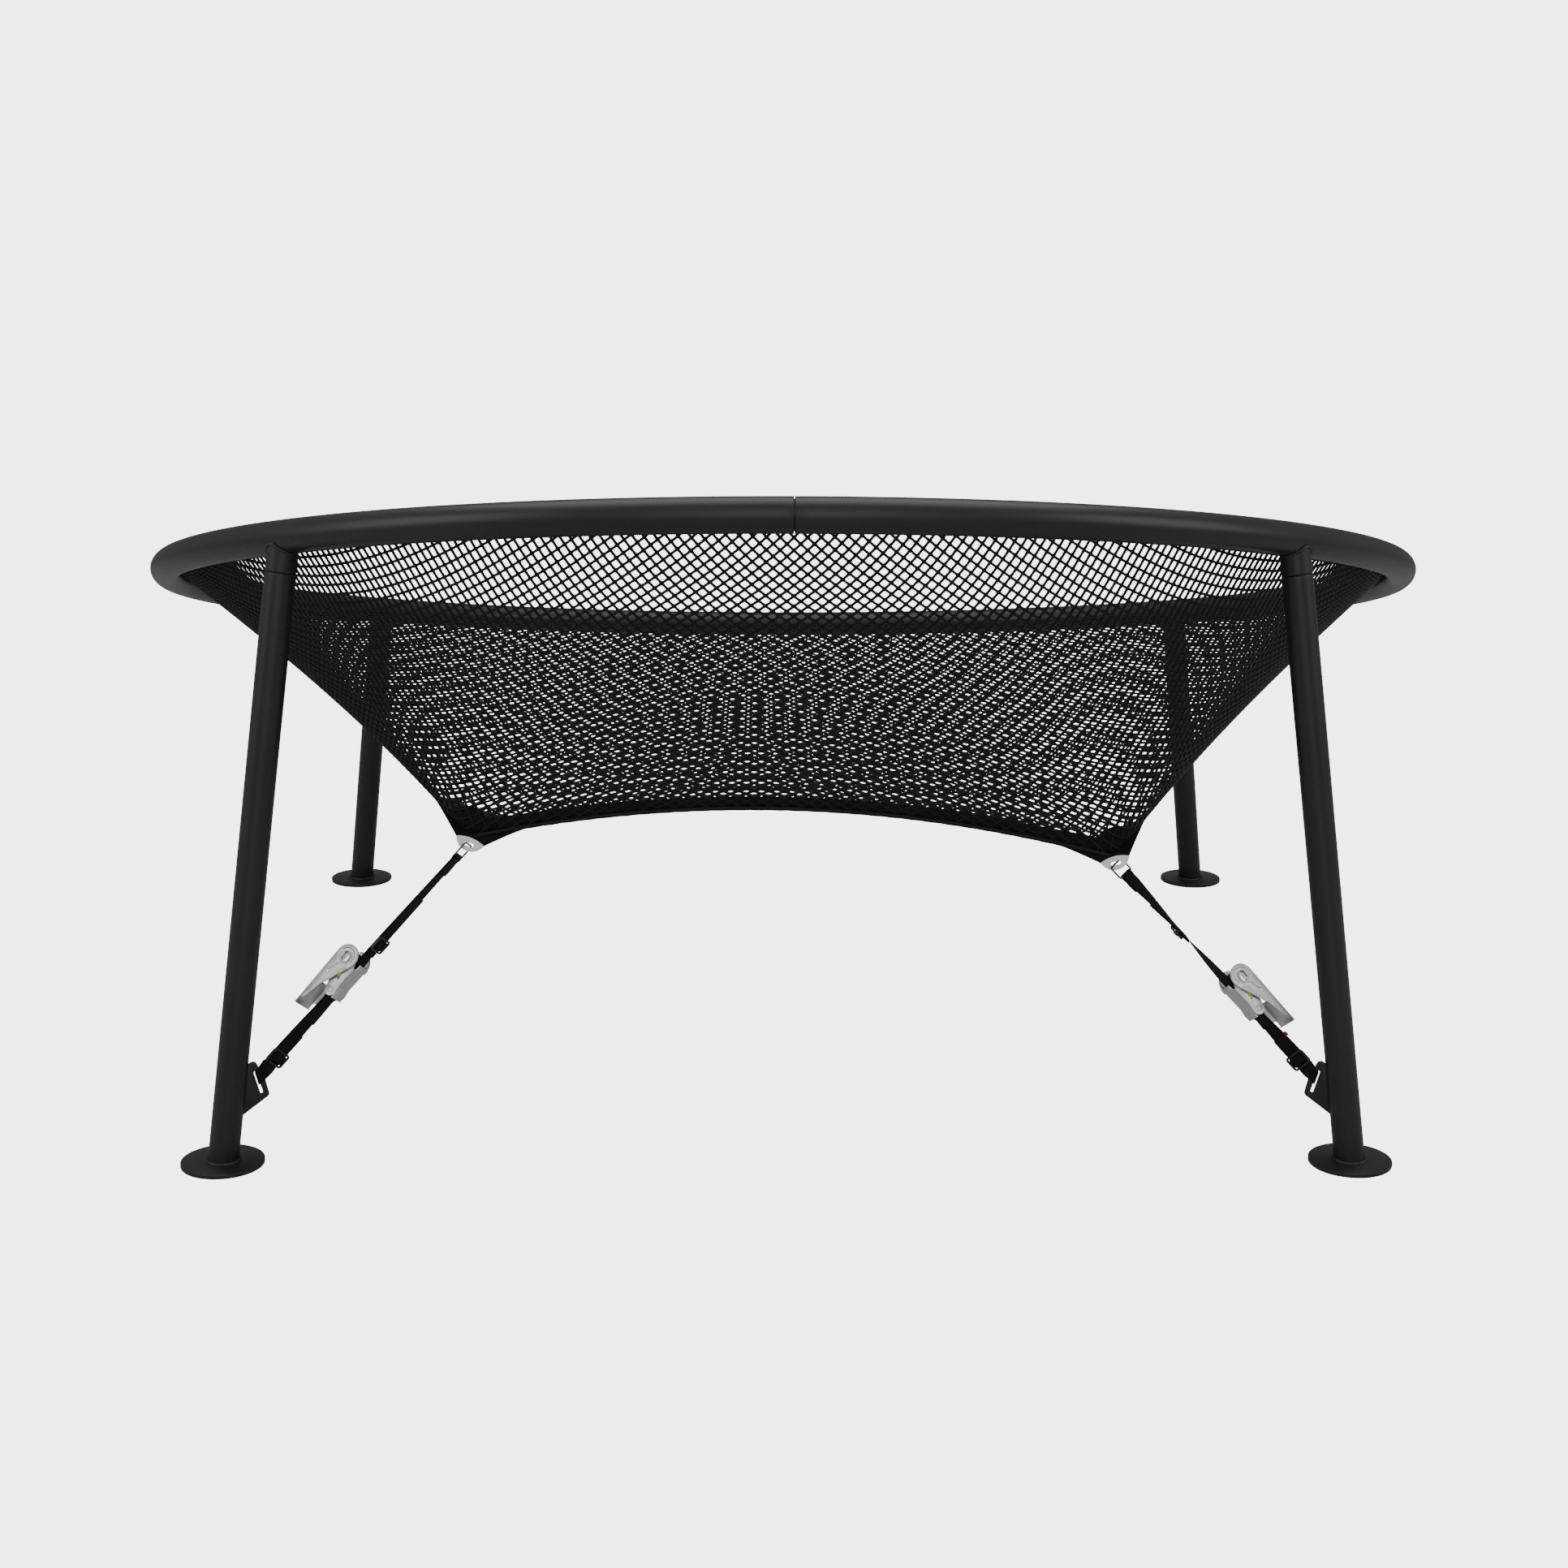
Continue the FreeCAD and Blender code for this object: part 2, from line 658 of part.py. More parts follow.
def ribbon(line, route, widths=None):
    """Webbing along a route of distance and height pairs, bent square to the route."""
    sections = []
    half_thickness = WEBBING_THICKNESS / 2
    for i, (distance, height) in enumerate(route):
        before = route[max(0, i - 1)]
        after = route[min(len(route) - 1, i + 1)]
        step = (after[0] - before[0], after[1] - before[1])
        size = math.hypot(step[0], step[1])
        normal = (-step[1] / size, step[0] / size)
        half = (widths[i] if widths else WEBBING_WIDTH) / 2
        bend = bend_factor(before, (distance, height), after)
        section = []
        for out, wide in ((1, -1), (1, 1), (-1, 1), (-1, -1)):
            section.append(line.point(distance + normal[0] * out * half_thickness * bend,
                                      height + normal[1] * out * half_thickness * bend, wide * half))
        sections.append(section)
    backward = [i for i in range(len(route) - 1) if route[i + 1][0] < route[i][0]]
    return skin(sections, backward=backward)


def bend_factor(before, here, after):
    """How much further a mitred corner lies than the webbing's half thickness."""
    first = (here[0] - before[0], here[1] - before[1])
    second = (after[0] - here[0], after[1] - here[1])
    sizes = math.hypot(*first) * math.hypot(*second)
    if sizes == 0:
        return 1.0
    cosine = (first[0] * second[0] + first[1] * second[1]) / sizes
    return 1.0 / math.sqrt(max(0.25, (1 + cosine) / 2))


def wrap(centre, radius, start, sweep, steps):
    """Route points round a pin or bar, from a start angle through a sweep."""
    points = []
    for i in range(steps + 1):
        angle = math.radians(start + sweep * i / steps)
        points.append((centre[0] + radius * math.cos(angle), centre[1] + radius * math.sin(angle)))
    return points


def over_slider(at):
    """Route points of the tail layer, over a slider's middle bar and under its end bars."""
    high = slider_base + SLIDER_THICKNESS + WEBBING_GAP + WEBBING_THICKNESS / 2
    rise = SLIDER_LENGTH / 2 - SLIDER_BAR - SLIDER_BAR_CLEARANCE
    crest = SLIDER_MIDDLE_BAR / 2 + SLIDER_CREST
    return [(at - rise, -layer), (at - crest, -high), (at + crest, -high), (at + rise, -layer)]


def between(start, end, steps):
    """Evenly spaced distances from a start to an end, both of them with."""
    return [start + (end - start) * i / steps for i in range(steps + 1)]


# The strap has two layers: the standing one towards the ratchet's handle, the tail on the other side
layer = (WEBBING_THICKNESS + WEBBING_GAP) / 2
slider_base = layer + WEBBING_THICKNESS / 2 + WEBBING_GAP


def lower_webbing(side):
    """Webbing from the ratchet's eye pin, round the anchor slot's rib and back to its tail."""
    eye = EYE_AT[side]
    slider = LOWER_SLIDER_AT[side]
    tail = LOWER_TAIL_AT[side]
    pin_wrap = EYE_PIN_DIAMETER / 2 + WEBBING_GAP + WEBBING_THICKNESS / 2
    rib_wrap = ANCHOR_THICKNESS / 2 + WEBBING_GAP + WEBBING_THICKNESS / 2
    shoulder = pin_wrap * PIN_SHOULDER_SHARE
    twist = between(slider + SLIDER_FLAT, tail, 2)
    sewn = [tail + SEWN_FROM_TAIL, eye - PIN_LEAD]
    approach = []
    for at in between(RIB_CLEAR_AT, slider - SLIDER_FLAT, APPROACH_STEPS) + [slider - SLIDER_LEAD]:
        part = share_between(at, RIB_CLEAR_AT, slider - SLIDER_LEAD)
        approach.append((at, rib_wrap + (layer - rib_wrap) * part))
    turn = rib_wrap * RIB_TURN_SHARE
    route = [(at, -layer) for at in sewn]
    route.append((eye - PIN_SHOULDER, -shoulder))
    route += wrap((eye, 0.0), pin_wrap, -PIN_WRAP_ANGLE / 2, PIN_WRAP_ANGLE, 12)
    route.append((eye - PIN_SHOULDER, shoulder))
    route += [(at, layer) for at in reversed(twist + sewn)]
    route += list(reversed(approach))
    route += [(RIB_SHOULDER, rib_wrap), (RIB_TURN, turn), (0.0, 0.0)]
    route += [(RIB_TURN, -turn), (RIB_SHOULDER, -rib_wrap)]
    route += [(at, -height) for at, height in approach]
    route += over_slider(slider)
    route += [(slider + SLIDER_LEAD, -layer)] + [(at, -layer) for at in twist]
    widths = []
    for distance, height in route:
        part = share_between(distance, RIB_NARROW_FROM, slider - SLIDER_LEAD)
        widths.append(SLOT_BUNCH_WIDTH + (WEBBING_WIDTH - SLOT_BUNCH_WIDTH) * part)
    return ribbon(strap(side), route, widths)


def upper_webbing(side):
    """Webbing from the ratchet to the wire link and its fold back, and the tail beside it."""
    line = strap(side)
    start = EYE_AT[side] + HUB_ALONG
    slider = UPPER_SLIDER_AT[side]
    fold = UPPER_FOLD_AT[side]
    bar = BAR_AT[side]
    link_wrap = LINK_WIRE / 2 + WEBBING_GAP + WEBBING_THICKNESS / 2
    past = between(slider + SLIDER_FLAT, UPPER_TAIL_AT[side], 3)
    rest = between(UPPER_TAIL_AT[side], fold, 2)[1:]
    route = []
    for at in between(start, slider - TAIL_BEFORE_SLIDER, TWIST_STEPS) + [slider - SLIDER_FLAT]:
        part = share_between(at, start, slider - SLIDER_FLAT)
        route.append((at, roll_tangent + (layer - roll_tangent) * part))
    route += [(at, layer) for at in past + rest + [bar - LINK_LEAD]]
    route.append((bar - LINK_SHOULDER, link_wrap))
    route += wrap((bar, 0.0), link_wrap, 90.0, -180.0, 8)
    route += [(bar - LINK_SHOULDER, -link_wrap), (bar - LINK_LEAD, -layer), (fold, -layer)]
    widths = []
    for distance, height in route:
        part = share_between(distance, bar - LINK_NARROW_FROM, bar - LINK_NARROW_TO)
        widths.append(WEBBING_WIDTH + (LINK_BUNCH_WIDTH - WEBBING_WIDTH) * part)
    tail = [(slider - before, -layer) for before in (TAIL_BEFORE_SLIDER, SLIDER_FLAT, SLIDER_LEAD)]
    tail += over_slider(slider)
    tail += [(slider + SLIDER_LEAD, -layer)] + [(at, -layer) for at in past]
    return Part.makeCompound([ribbon(line, route, widths), ribbon(line, tail)])


roll_tangent = HUB_UP - ROLL_RADIUS - WEBBING_GAP - WEBBING_THICKNESS / 2


def slider_frame(side, at):
    """A frame on the strap: X along it, Y on the webbing's width, Z off its tail's face."""
    line = strap(side)
    origin = line.point(at, 0.0)
    up = unit(line.point(at, -1.0) - origin)
    along = unit(line.along)
    return frame(origin, along, unit(up.cross(along)), up)


def slider(side, at):
    """A three-bar plastic slider at a distance along the strap."""
    body = Part.makeBox(SLIDER_LENGTH, SLIDER_WIDTH, SLIDER_THICKNESS,
                        V(-SLIDER_LENGTH / 2, -SLIDER_WIDTH / 2, slider_base))
    upright = [edge for edge in body.Edges if abs(edge.tangentAt(edge.FirstParameter).z) > 0.9]
    body = body.makeChamfer(SLIDER_BAR, upright)
    window_width = WEBBING_WIDTH + 4 * SLIDER_SIDE_CLEARANCE
    window_length = SLIDER_LENGTH / 2 - SLIDER_BAR - SLIDER_MIDDLE_BAR / 2
    for start in (SLIDER_MIDDLE_BAR / 2, -SLIDER_MIDDLE_BAR / 2 - window_length):
        window = Part.makeBox(window_length, window_width, 3 * SLIDER_THICKNESS,
                              V(start, -window_width / 2, slider_base - SLIDER_THICKNESS))
        body = body.cut(window)
    return placed(body, slider_frame(side, at))


def red_tab():
    """The small plain tab sewn to the edge of the right strap."""
    line = strap("right")
    inner = WEBBING_WIDTH / 2
    sections = []
    for at in (TAB_AT - TAB_LENGTH / 2, TAB_AT + TAB_LENGTH / 2):
        low = -layer - TAB_THICKNESS / 2
        high = -layer + TAB_THICKNESS / 2
        sections.append([line.point(at, low, inner), line.point(at, low, inner + TAB_REACH),
                         line.point(at, high, inner + TAB_REACH), line.point(at, high, inner)])
    return skin(sections)


# Corner plates and wire links

def corner_frame(side):
    """Origin at the plate's hole, its long axis, its short axis to the net, and its face."""
    slope = math.radians(CORNER_PLATE_SLOPE[side])
    along = V(math.cos(slope), 0, math.sin(slope))
    pull = strap(side).along
    to_net = unit(pull - along * pull.dot(along))
    face = along.cross(to_net)
    return strap(side).hole, along, to_net, face


def corner_plate(side):
    """A half-moon plate: a shallow crown towards the net and a deep curve to the strap."""
    origin, along, to_net, face = corner_frame(side)
    half = CORNER_PLATE_WIDTH / 2
    rise = CORNER_PLATE_RISE
    left = V(-half, rise, 0)
    right = V(half, rise, 0)
    outline = Part.Wire([
        Part.Arc(left, V(0, rise + CORNER_PLATE_CROWN, 0), right).toShape(),
        Part.Arc(right, V(0, rise - CORNER_PLATE_DEPTH, 0), left).toShape()])
    plate = Part.Face(outline).extrude(V(0, 0, CORNER_PLATE_THICKNESS))
    plate.translate(V(0, 0, -CORNER_PLATE_THICKNESS / 2))
    hole = rounded_bar(LINK_HOLE_LENGTH, LINK_HOLE_WIDTH, 2 * CORNER_PLATE_THICKNESS)
    hole.rotate(V(0, 0, 0), V(1, 0, 0), 90)
    hole.rotate(V(0, 0, 0), V(0, 0, 1), 90)
    plate = plate.cut(hole)
    return placed(plate, frame(origin, along, to_net, face))


def wire_link(side):
    """The bent wire link between a corner plate's hole and the strap."""
    line = strap(side)
    length = (line.hole - line.start).Length - BAR_AT[side]
    across = line.turned(BAR_ROLL[side])
    up = line.along.cross(across)
    middle = line.start + line.along * (BAR_AT[side] + length / 2)
    half_width = LINK_WIDTH / 2 - LINK_CORNER_RADIUS
    half_length = length / 2 - LINK_CORNER_RADIUS
    sections = []
    for turn in (0, 45, 90, 90, 135, 180, 180, 225, 270, 270, 315, 360):
        angle = math.radians(turn)
        quarter = len(sections) // 3
        corner_along = half_length if quarter in (0, 3) else -half_length
        corner_across = half_width if quarter in (0, 1) else -half_width
        outwards = line.along * math.cos(angle) + across * math.sin(angle)
        centre = middle + line.along * corner_along + across * corner_across + outwards * LINK_CORNER_RADIUS
        section = []
        for i in range(LINK_SIDES):
            spin = 2 * math.pi * i / LINK_SIDES
            section.append(centre + (outwards * math.cos(spin) + up * math.sin(spin)) * (LINK_WIRE / 2))
        sections.append(section)
    return skin(sections, ring=True)


# Ratchet buckle, in its own frame: X towards the net, Y on the spindle, Z to the handle

hub = V(HUB_ALONG, 0, HUB_UP)


def belt(first, first_radius, second, second_radius):
    """The face of two discs and the straight tangents between them, in the XZ plane."""
    gap = second - first
    lie = math.atan2(gap.z, gap.x)
    lean = math.asin((second_radius - first_radius) / gap.Length)
    high = lie + math.pi / 2 + lean
    low = lie - math.pi / 2 - lean

    def at(centre, radius, angle):
        return centre + V(radius * math.cos(angle), 0, radius * math.sin(angle))

    a, b = at(first, first_radius, high), at(second, second_radius, high)
    c, d = at(second, second_radius, low), at(first, first_radius, low)
    outline = Part.Wire([
        Part.makeLine(a, b),
        Part.Arc(b, at(second, second_radius, lie), c).toShape(),
        Part.makeLine(c, d),
        Part.Arc(d, at(first, first_radius, lie + math.pi), a).toShape()])
    return Part.Face(outline)


def cheek(face, start, thickness):
    """A pair of flat plates cut from one face, on both sides of the middle."""
    plates = []
    for side in (1, -1):
        plate = face.extrude(V(0, thickness * side, 0))
        plate.translate(V(0, start * side, 0))
        plates.append(plate)
    return plates


def polygon_face(points):
    """A flat face in the XZ plane from along and up pairs."""
    corners = [V(along, 0, up) for along, up in points]
    return Part.Face(Part.makePolygon(corners + corners[:1]))


def radial_block(angle, start, end, thickness, half_inside, half_outside):
    """A flat bar on a radius of the spindle, or a pair of them if it starts off the middle."""
    solids = []
    turn = math.radians(angle)
    for side in (1, -1):
        low = half_inside * side
        high = half_outside * side
        if half_inside == 0:
            low = -half_outside
            high = half_outside
        nearest = V(start, min(low, high), -thickness / 2)
        block = Part.makeBox(end - start, abs(high - low), thickness, nearest)
        block.rotate(V(0, 0, 0), V(0, 1, 0), -math.degrees(turn))
        block.translate(hub)
        solids.append(block)
        if half_inside == 0:
            break
    return solids


def bore(radius, half_length, centre):
    """A cylinder across the buckle."""
    return Part.makeCylinder(radius, 2 * half_length, centre - V(0, half_length, 0), V(0, 1, 0))


def fused(solids):
    """One solid from several that touch or overlap."""
    whole = solids[0].fuse(solids[1:]) if len(solids) > 1 else solids[0]
    return whole.removeSplitter()


def buckle_frame():
    """Ears, base and end lips, bent from one sheet, with the eye pin riveted between the ears."""
    ears = cheek(belt(V(0, 0, 0), EYE_RADIUS, hub, EAR_HUB_RADIUS), EAR_INSIDE, SHEET)
    skirt = polygon_face([(BASE_START + FOLD_NOTCH, BASE_UNDERSIDE), (BASE_END, BASE_UNDERSIDE),
                          (HUB_ALONG + EAR_HUB_RADIUS * SKIRT_ALONG, HUB_UP - EAR_HUB_RADIUS * SKIRT_DROP),
                          (HUB_ALONG / 2, HUB_UP / 2), (BASE_START + FOLD_NOTCH, 0)])
    skirts = cheek(skirt, EAR_INSIDE, SHEET)
    outside = EAR_INSIDE + SHEET
    base = Part.makeBox(BASE_END - BASE_START - FOLD_NOTCH, 2 * outside, SHEET,
                        V(BASE_START + FOLD_NOTCH, -outside, BASE_UNDERSIDE))
    lips = []
    for end, way in ((BASE_START + FOLD_NOTCH, -1), (BASE_END, 1)):
        reach = LIP_REACH + (FOLD_NOTCH if way < 0 else 0)
        low = BASE_UNDERSIDE - LIP_DROP
        bent = end + way * reach * LIP_BEND
        tip = end + way * reach
        points = [(end, BASE_UNDERSIDE), (bent, low), (tip, low),
                  (tip, low + SHEET), (bent, low + SHEET), (end, BASE_UNDERSIDE + SHEET)]
        lip = polygon_face(points).extrude(V(0, LIP_WIDTH, 0))
        lip.translate(V(0, -LIP_WIDTH / 2, 0))
        lips.append(lip)
    eye_pin = bore(EYE_PIN_DIAMETER / 2, outside, V(0, 0, 0))
    body = fused(ears + skirts + [base, eye_pin] + lips)
    body = body.cut(bore(SPINDLE_DIAMETER / 2 + SPINDLE_FIT, 2 * outside, hub))
    slot = radial_block(LOCK_ANGLE, LOCK_TIP - PAWL_CLEARANCE, LOCK_END + LOCK_TRAVEL + PAWL_CLEARANCE,
                        PAWL_THICKNESS + 2 * PAWL_CLEARANCE, 0, outside + 1)
    return body.cut(slot[0])


def buckle_handle():
    """The handle: two cheeks on the spindle and the grip between their ends, in one sheet."""
    head = polygon_face([(HUB_ALONG + HANDLE_HEAD_RADIUS * math.cos(2 * math.pi * i / HANDLE_HEAD_SIDES),
                          HUB_UP + HANDLE_HEAD_RADIUS * math.sin(2 * math.pi * i / HANDLE_HEAD_SIDES))
                         for i in range(HANDLE_HEAD_SIDES)])
    lift = math.radians(HANDLE_ARM_LIFT)
    upper = hub + V(-HANDLE_HEAD_RADIUS * math.sin(lift), 0, HANDLE_HEAD_RADIUS * math.cos(lift))
    lower = hub - V(HANDLE_HEAD_RADIUS * HANDLE_ARM_BACK, 0, HANDLE_HEAD_RADIUS * HANDLE_ARM_DROP)
    arm = polygon_face([(upper.x, upper.z), (HUB_ALONG - HANDLE_CHEEK_END, HUB_UP + GRIP_TOP),
                        (HUB_ALONG - HANDLE_LOWER_END, HUB_UP + HANDLE_LOWER_END_UP),
                        (HUB_ALONG - GRIP_START, HUB_UP + HANDLE_LOWER_START_UP),
                        (lower.x, lower.z), (HUB_ALONG, HUB_UP)])
    cheeks = cheek(head, HANDLE_START, SHEET) + cheek(arm, HANDLE_START, SHEET)
    outside = HANDLE_START + SHEET
    grip = Part.makeBox(GRIP_END - GRIP_START, 2 * outside, SHEET,
                        V(HUB_ALONG - GRIP_END, -outside, HUB_UP + GRIP_TOP - SHEET))
    lip = Part.makeBox(SHEET, 2 * outside, GRIP_LIP_DROP,
                       V(HUB_ALONG - GRIP_END, -outside, HUB_UP + GRIP_TOP - GRIP_LIP_DROP))
    tongue = Part.makeBox(SHEET, SPRING_TONGUE_WIDTH, SPRING_TONGUE_DROP,
                          V(HUB_ALONG - GRIP_START - SHEET, -SPRING_TONGUE_WIDTH / 2,
                            HUB_UP + GRIP_TOP - SPRING_TONGUE_DROP))
    body = fused(cheeks + [grip, lip, tongue])
    body = body.cut(bore(SPINDLE_DIAMETER / 2 + SPINDLE_FIT, 2 * outside, hub))
    slot_end = DRIVE_CHEEK_END + DRIVE_TRAVEL + PAWL_CLEARANCE
    slot = radial_block(DRIVE_ANGLE, DRIVE_TIP - PAWL_CLEARANCE, slot_end,
                        PAWL_THICKNESS + 2 * PAWL_CLEARANCE, 0, outside + 1)
    return body.cut(slot[0])


def spindle():
    """The spindle: two half-round bars with a slot between them, joined by two toothed wheels."""
    half_length = HANDLE_START + SHEET + SPINDLE_PROUD
    bar = bore(SPINDLE_DIAMETER / 2, half_length, hub)
    slot = Part.makeBox(SPINDLE_DIAMETER, 2 * half_length, SPINDLE_SLOT,
                        V(HUB_ALONG - SPINDLE_DIAMETER / 2, -half_length, HUB_UP - SPINDLE_SLOT / 2))
    return fused([bar.cut(slot)] + ratchet_wheels())


def ratchet_wheels():
    """The two toothed wheels, with the crest of each tooth a sharp step past the pawl."""
    points = []
    pitch = 360.0 / TOOTH_COUNT
    for i in range(TOOTH_COUNT):
        angle = math.radians(LOCK_ANGLE + i * pitch + TOOTH_FACE_ANGLE)
        for radius in (TOOTH_CREST, TOOTH_ROOT):
            points.append((HUB_ALONG + radius * math.cos(angle), HUB_UP + radius * math.sin(angle)))
    return cheek(polygon_face(points), WHEEL_START, WHEEL_THICKNESS)


def webbing_roll():
    """The webbing wound on the spindle, from its slot out to where the strap runs on."""
    half = WEBBING_WIDTH / 2
    pitch = WEBBING_THICKNESS + ROLL_GAP
    outer = ROLL_RADIUS - WEBBING_THICKNESS / 2
    inner = SPINDLE_DIAMETER / 2 + WEBBING_GAP + WEBBING_THICKNESS / 2
    turns = (outer - inner) / pitch
    steps = round(turns * ROLL_STEPS_PER_TURN)
    route = []
    for i in range(steps + 1):
        angle = math.radians(-90 - 360 * turns * i / steps)
        radius = outer - pitch * turns * i / steps
        route.append((radius * math.cos(angle), radius * math.sin(angle)))
    print("webbing roll: turns %.2f, gap between turns %.2f" % (turns, least_gap(route)))
    sections = []
    for i, here in enumerate(route):
        before = route[max(0, i - 1)]
        after = route[min(steps, i + 1)]
        size = math.hypot(after[0] - before[0], after[1] - before[1])
        normal = ((before[1] - after[1]) / size, (after[0] - before[0]) / size)
        reach = WEBBING_THICKNESS / 2 * bend_factor(before, here, after)
        out = (here[0] + normal[0] * reach, here[1] + normal[1] * reach)
        into = (here[0] - normal[0] * reach, here[1] - normal[1] * reach)
        sections.append([hub + V(out[0], -half, out[1]), hub + V(out[0], half, out[1]),
                         hub + V(into[0], half, into[1]), hub + V(into[0], -half, into[1])])
    return skin(sections)


def least_gap(route):
    """The least clear distance between one turn of a flat winding and the next."""
    least = ROLL_RADIUS
    for i, first in enumerate(route):
        for second in route[i + ROLL_STEPS_PER_TURN // 2:]:
            least = min(least, math.hypot(first[0] - second[0], first[1] - second[1]))
    return least - WEBBING_THICKNESS


def drive_pawl():
    """The handle's sliding pawl: tips outside the ears, joined by a bridge above them."""
    tips = radial_block(DRIVE_ANGLE, DRIVE_TIP, DRIVE_CHEEK_END, PAWL_THICKNESS,
                        DRIVE_FORK_INSIDE, DRIVE_HALF_WIDTH)
    bridge = radial_block(DRIVE_ANGLE, DRIVE_BRIDGE_START, DRIVE_BRIDGE_END, PAWL_THICKNESS,
                          0, DRIVE_BRIDGE_WIDTH / 2)
    return fused(tips + bridge)


def lock_pawl():
    """The frame's sliding pawl, seated between two teeth of both wheels."""
    return radial_block(LOCK_ANGLE, LOCK_TIP, LOCK_END, PAWL_THICKNESS, 0, LOCK_HALF_WIDTH)[0]


def spring(angle, start, end):
    """A pawl spring's eight-sided envelope on a radius of the spindle."""
    outline = []
    for i in range(SPRING_SIDES):
        turn = 2 * math.pi * (i + 0.5) / SPRING_SIDES
        outline.append(V(start, SPRING_DIAMETER / 2 * math.cos(turn), SPRING_DIAMETER / 2 * math.sin(turn)))
    rod = Part.Face(Part.makePolygon(outline + outline[:1])).extrude(V(end - start, 0, 0))
    rod.rotate(V(0, 0, 0), V(0, 1, 0), -angle)
    rod.translate(hub)
    return rod


# Nodes

def both(make):
    """The left and the right one of a piece, as separate solids of one group."""
    return Part.makeCompound([make(side) for side in SIDES])


def frames_apart(shape):
    """A buckle piece on both straps, as separate solids of one group."""
    return Part.makeCompound([placed(shape, strap(side).ratchet_frame()) for side in SIDES])


def strap_sliders():
    """The four sliders, two on each strap."""
    solids = []
    for side in SIDES:
        solids.append(slider(side, LOWER_SLIDER_AT[side]))
        solids.append(slider(side, UPPER_SLIDER_AT[side]))
    return Part.makeCompound(solids)


for side in SIDES:
    export("ring_half_" + side, ring_half(side))
export("ring_spigots", ring_spigots())
for corner in CORNERS:
    export("leg_" + corner, leg(corner))
export("foot_plates", Part.makeCompound([foot_plate(corner) for corner in CORNERS]))
export("net_band", net_band())
export("net", net_mesh())
export("net_keel_tape", keel_tape())
export("net_lugs", lugs())
export("anchor_plates", both(anchor_plate))
export("strap_sliders", strap_sliders())
export("corner_plates", both(corner_plate))
export("wire_links", both(wire_link))
export("red_tab", red_tab())
export("ratchet_frames", frames_apart(buckle_frame()))

moving_parts = {
    "ratchet_handle": buckle_handle(),
    "spindle": spindle(),
    "webbing_roll": webbing_roll(),
    "drive_pawl": drive_pawl(),
    "lock_pawl": lock_pawl(),
    "drive_spring": spring(DRIVE_ANGLE, DRIVE_BRIDGE_END, GRIP_START),
    "lock_spring": spring(LOCK_ANGLE, LOCK_END, LOCK_END + LOCK_SPRING_LENGTH),
}
for side in SIDES:
    export("lower_webbing_" + side, lower_webbing(side))
    export("upper_webbing_" + side, upper_webbing(side))
    place = strap(side).ratchet_frame()
    for name, shape in moving_parts.items():
        export(name + "_" + side, placed(shape, place))
    point = place.multVec(hub)
    print("spindle axis", side, [round(value, 3) for value in point],
          [round(value, 6) for value in place.Rotation.multVec(V(0, 1, 0))])
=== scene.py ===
# %% [markdown]
# # A rebound net on a tilted tube ring
# The object is a steel ring of tube, two metres across, on four splayed legs. A black net
# hangs in the ring, and two ratchet straps pull its lower edge down to the near legs.

# %% Load the engineered frame
import bmesh
import bpy
import math
import numpy as np
from mathutils import Matrix, Vector


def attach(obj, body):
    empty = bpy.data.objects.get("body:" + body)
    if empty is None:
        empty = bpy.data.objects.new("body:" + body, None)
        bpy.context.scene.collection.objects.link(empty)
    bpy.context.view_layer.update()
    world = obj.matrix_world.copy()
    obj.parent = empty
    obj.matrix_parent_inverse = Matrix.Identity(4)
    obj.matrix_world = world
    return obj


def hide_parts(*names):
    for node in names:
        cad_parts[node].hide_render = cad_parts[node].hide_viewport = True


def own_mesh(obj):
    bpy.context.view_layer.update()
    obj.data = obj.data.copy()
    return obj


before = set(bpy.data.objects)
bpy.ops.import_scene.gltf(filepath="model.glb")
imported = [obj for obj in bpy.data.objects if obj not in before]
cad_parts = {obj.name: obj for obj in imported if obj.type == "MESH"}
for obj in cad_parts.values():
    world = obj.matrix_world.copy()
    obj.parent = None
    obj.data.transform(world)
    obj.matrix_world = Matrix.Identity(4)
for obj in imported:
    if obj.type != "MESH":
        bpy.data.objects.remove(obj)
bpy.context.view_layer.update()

# %% [markdown]
# ## The camera
# The photograph was taken from a little above the ring, about four metres away, with a
# moderate lens and a slight tilt. The camera is placed by its pitch, yaw and roll, because
# those are the three things a photographer sets, and the sensor is 36 mm wide.

# %% Camera at the photograph's viewpoint
FOCAL_LENGTH = 55.82
PITCH = math.radians(13.859)
YAW = math.radians(0.858)
ROLL = math.radians(0.273)
CAMERA_AT = Vector((-0.05785, -4.06556, 1.37409))

forward = Vector((math.sin(YAW) * math.cos(PITCH), math.cos(YAW) * math.cos(PITCH), -math.sin(PITCH)))
level_right = Vector((math.cos(YAW), -math.sin(YAW), 0))
level_up = level_right.cross(forward)
right = level_right * math.cos(ROLL) + level_up * math.sin(ROLL)
up = level_up * math.cos(ROLL) - level_right * math.sin(ROLL)
camera_data = bpy.data.cameras.new("camera")
camera_data.lens = FOCAL_LENGTH
camera_data.sensor_width = 36.0
camera_data.sensor_fit = "HORIZONTAL"
camera_data.dof.use_dof = False
camera_data.clip_start = 0.05
camera_data.clip_end = 60.0
camera = bpy.data.objects.new("camera", camera_data)
turn = Matrix((right, up, -forward)).transposed()
camera.matrix_world = Matrix.Translation(CAMERA_AT) @ turn.to_4x4()
bpy.context.scene.collection.objects.link(camera)
bpy.context.scene.camera = camera
print("camera", [round(value, 3) for value in CAMERA_AT])

# %% [markdown]
# ## Small helpers
# A few jobs come back all the time: turning a colour code into the linear colour that Blender
# works with, adding a node with its links, making a mesh from points, and placing a lamp. Each
# is written once here, so that the cells below stay short and say only what they make.

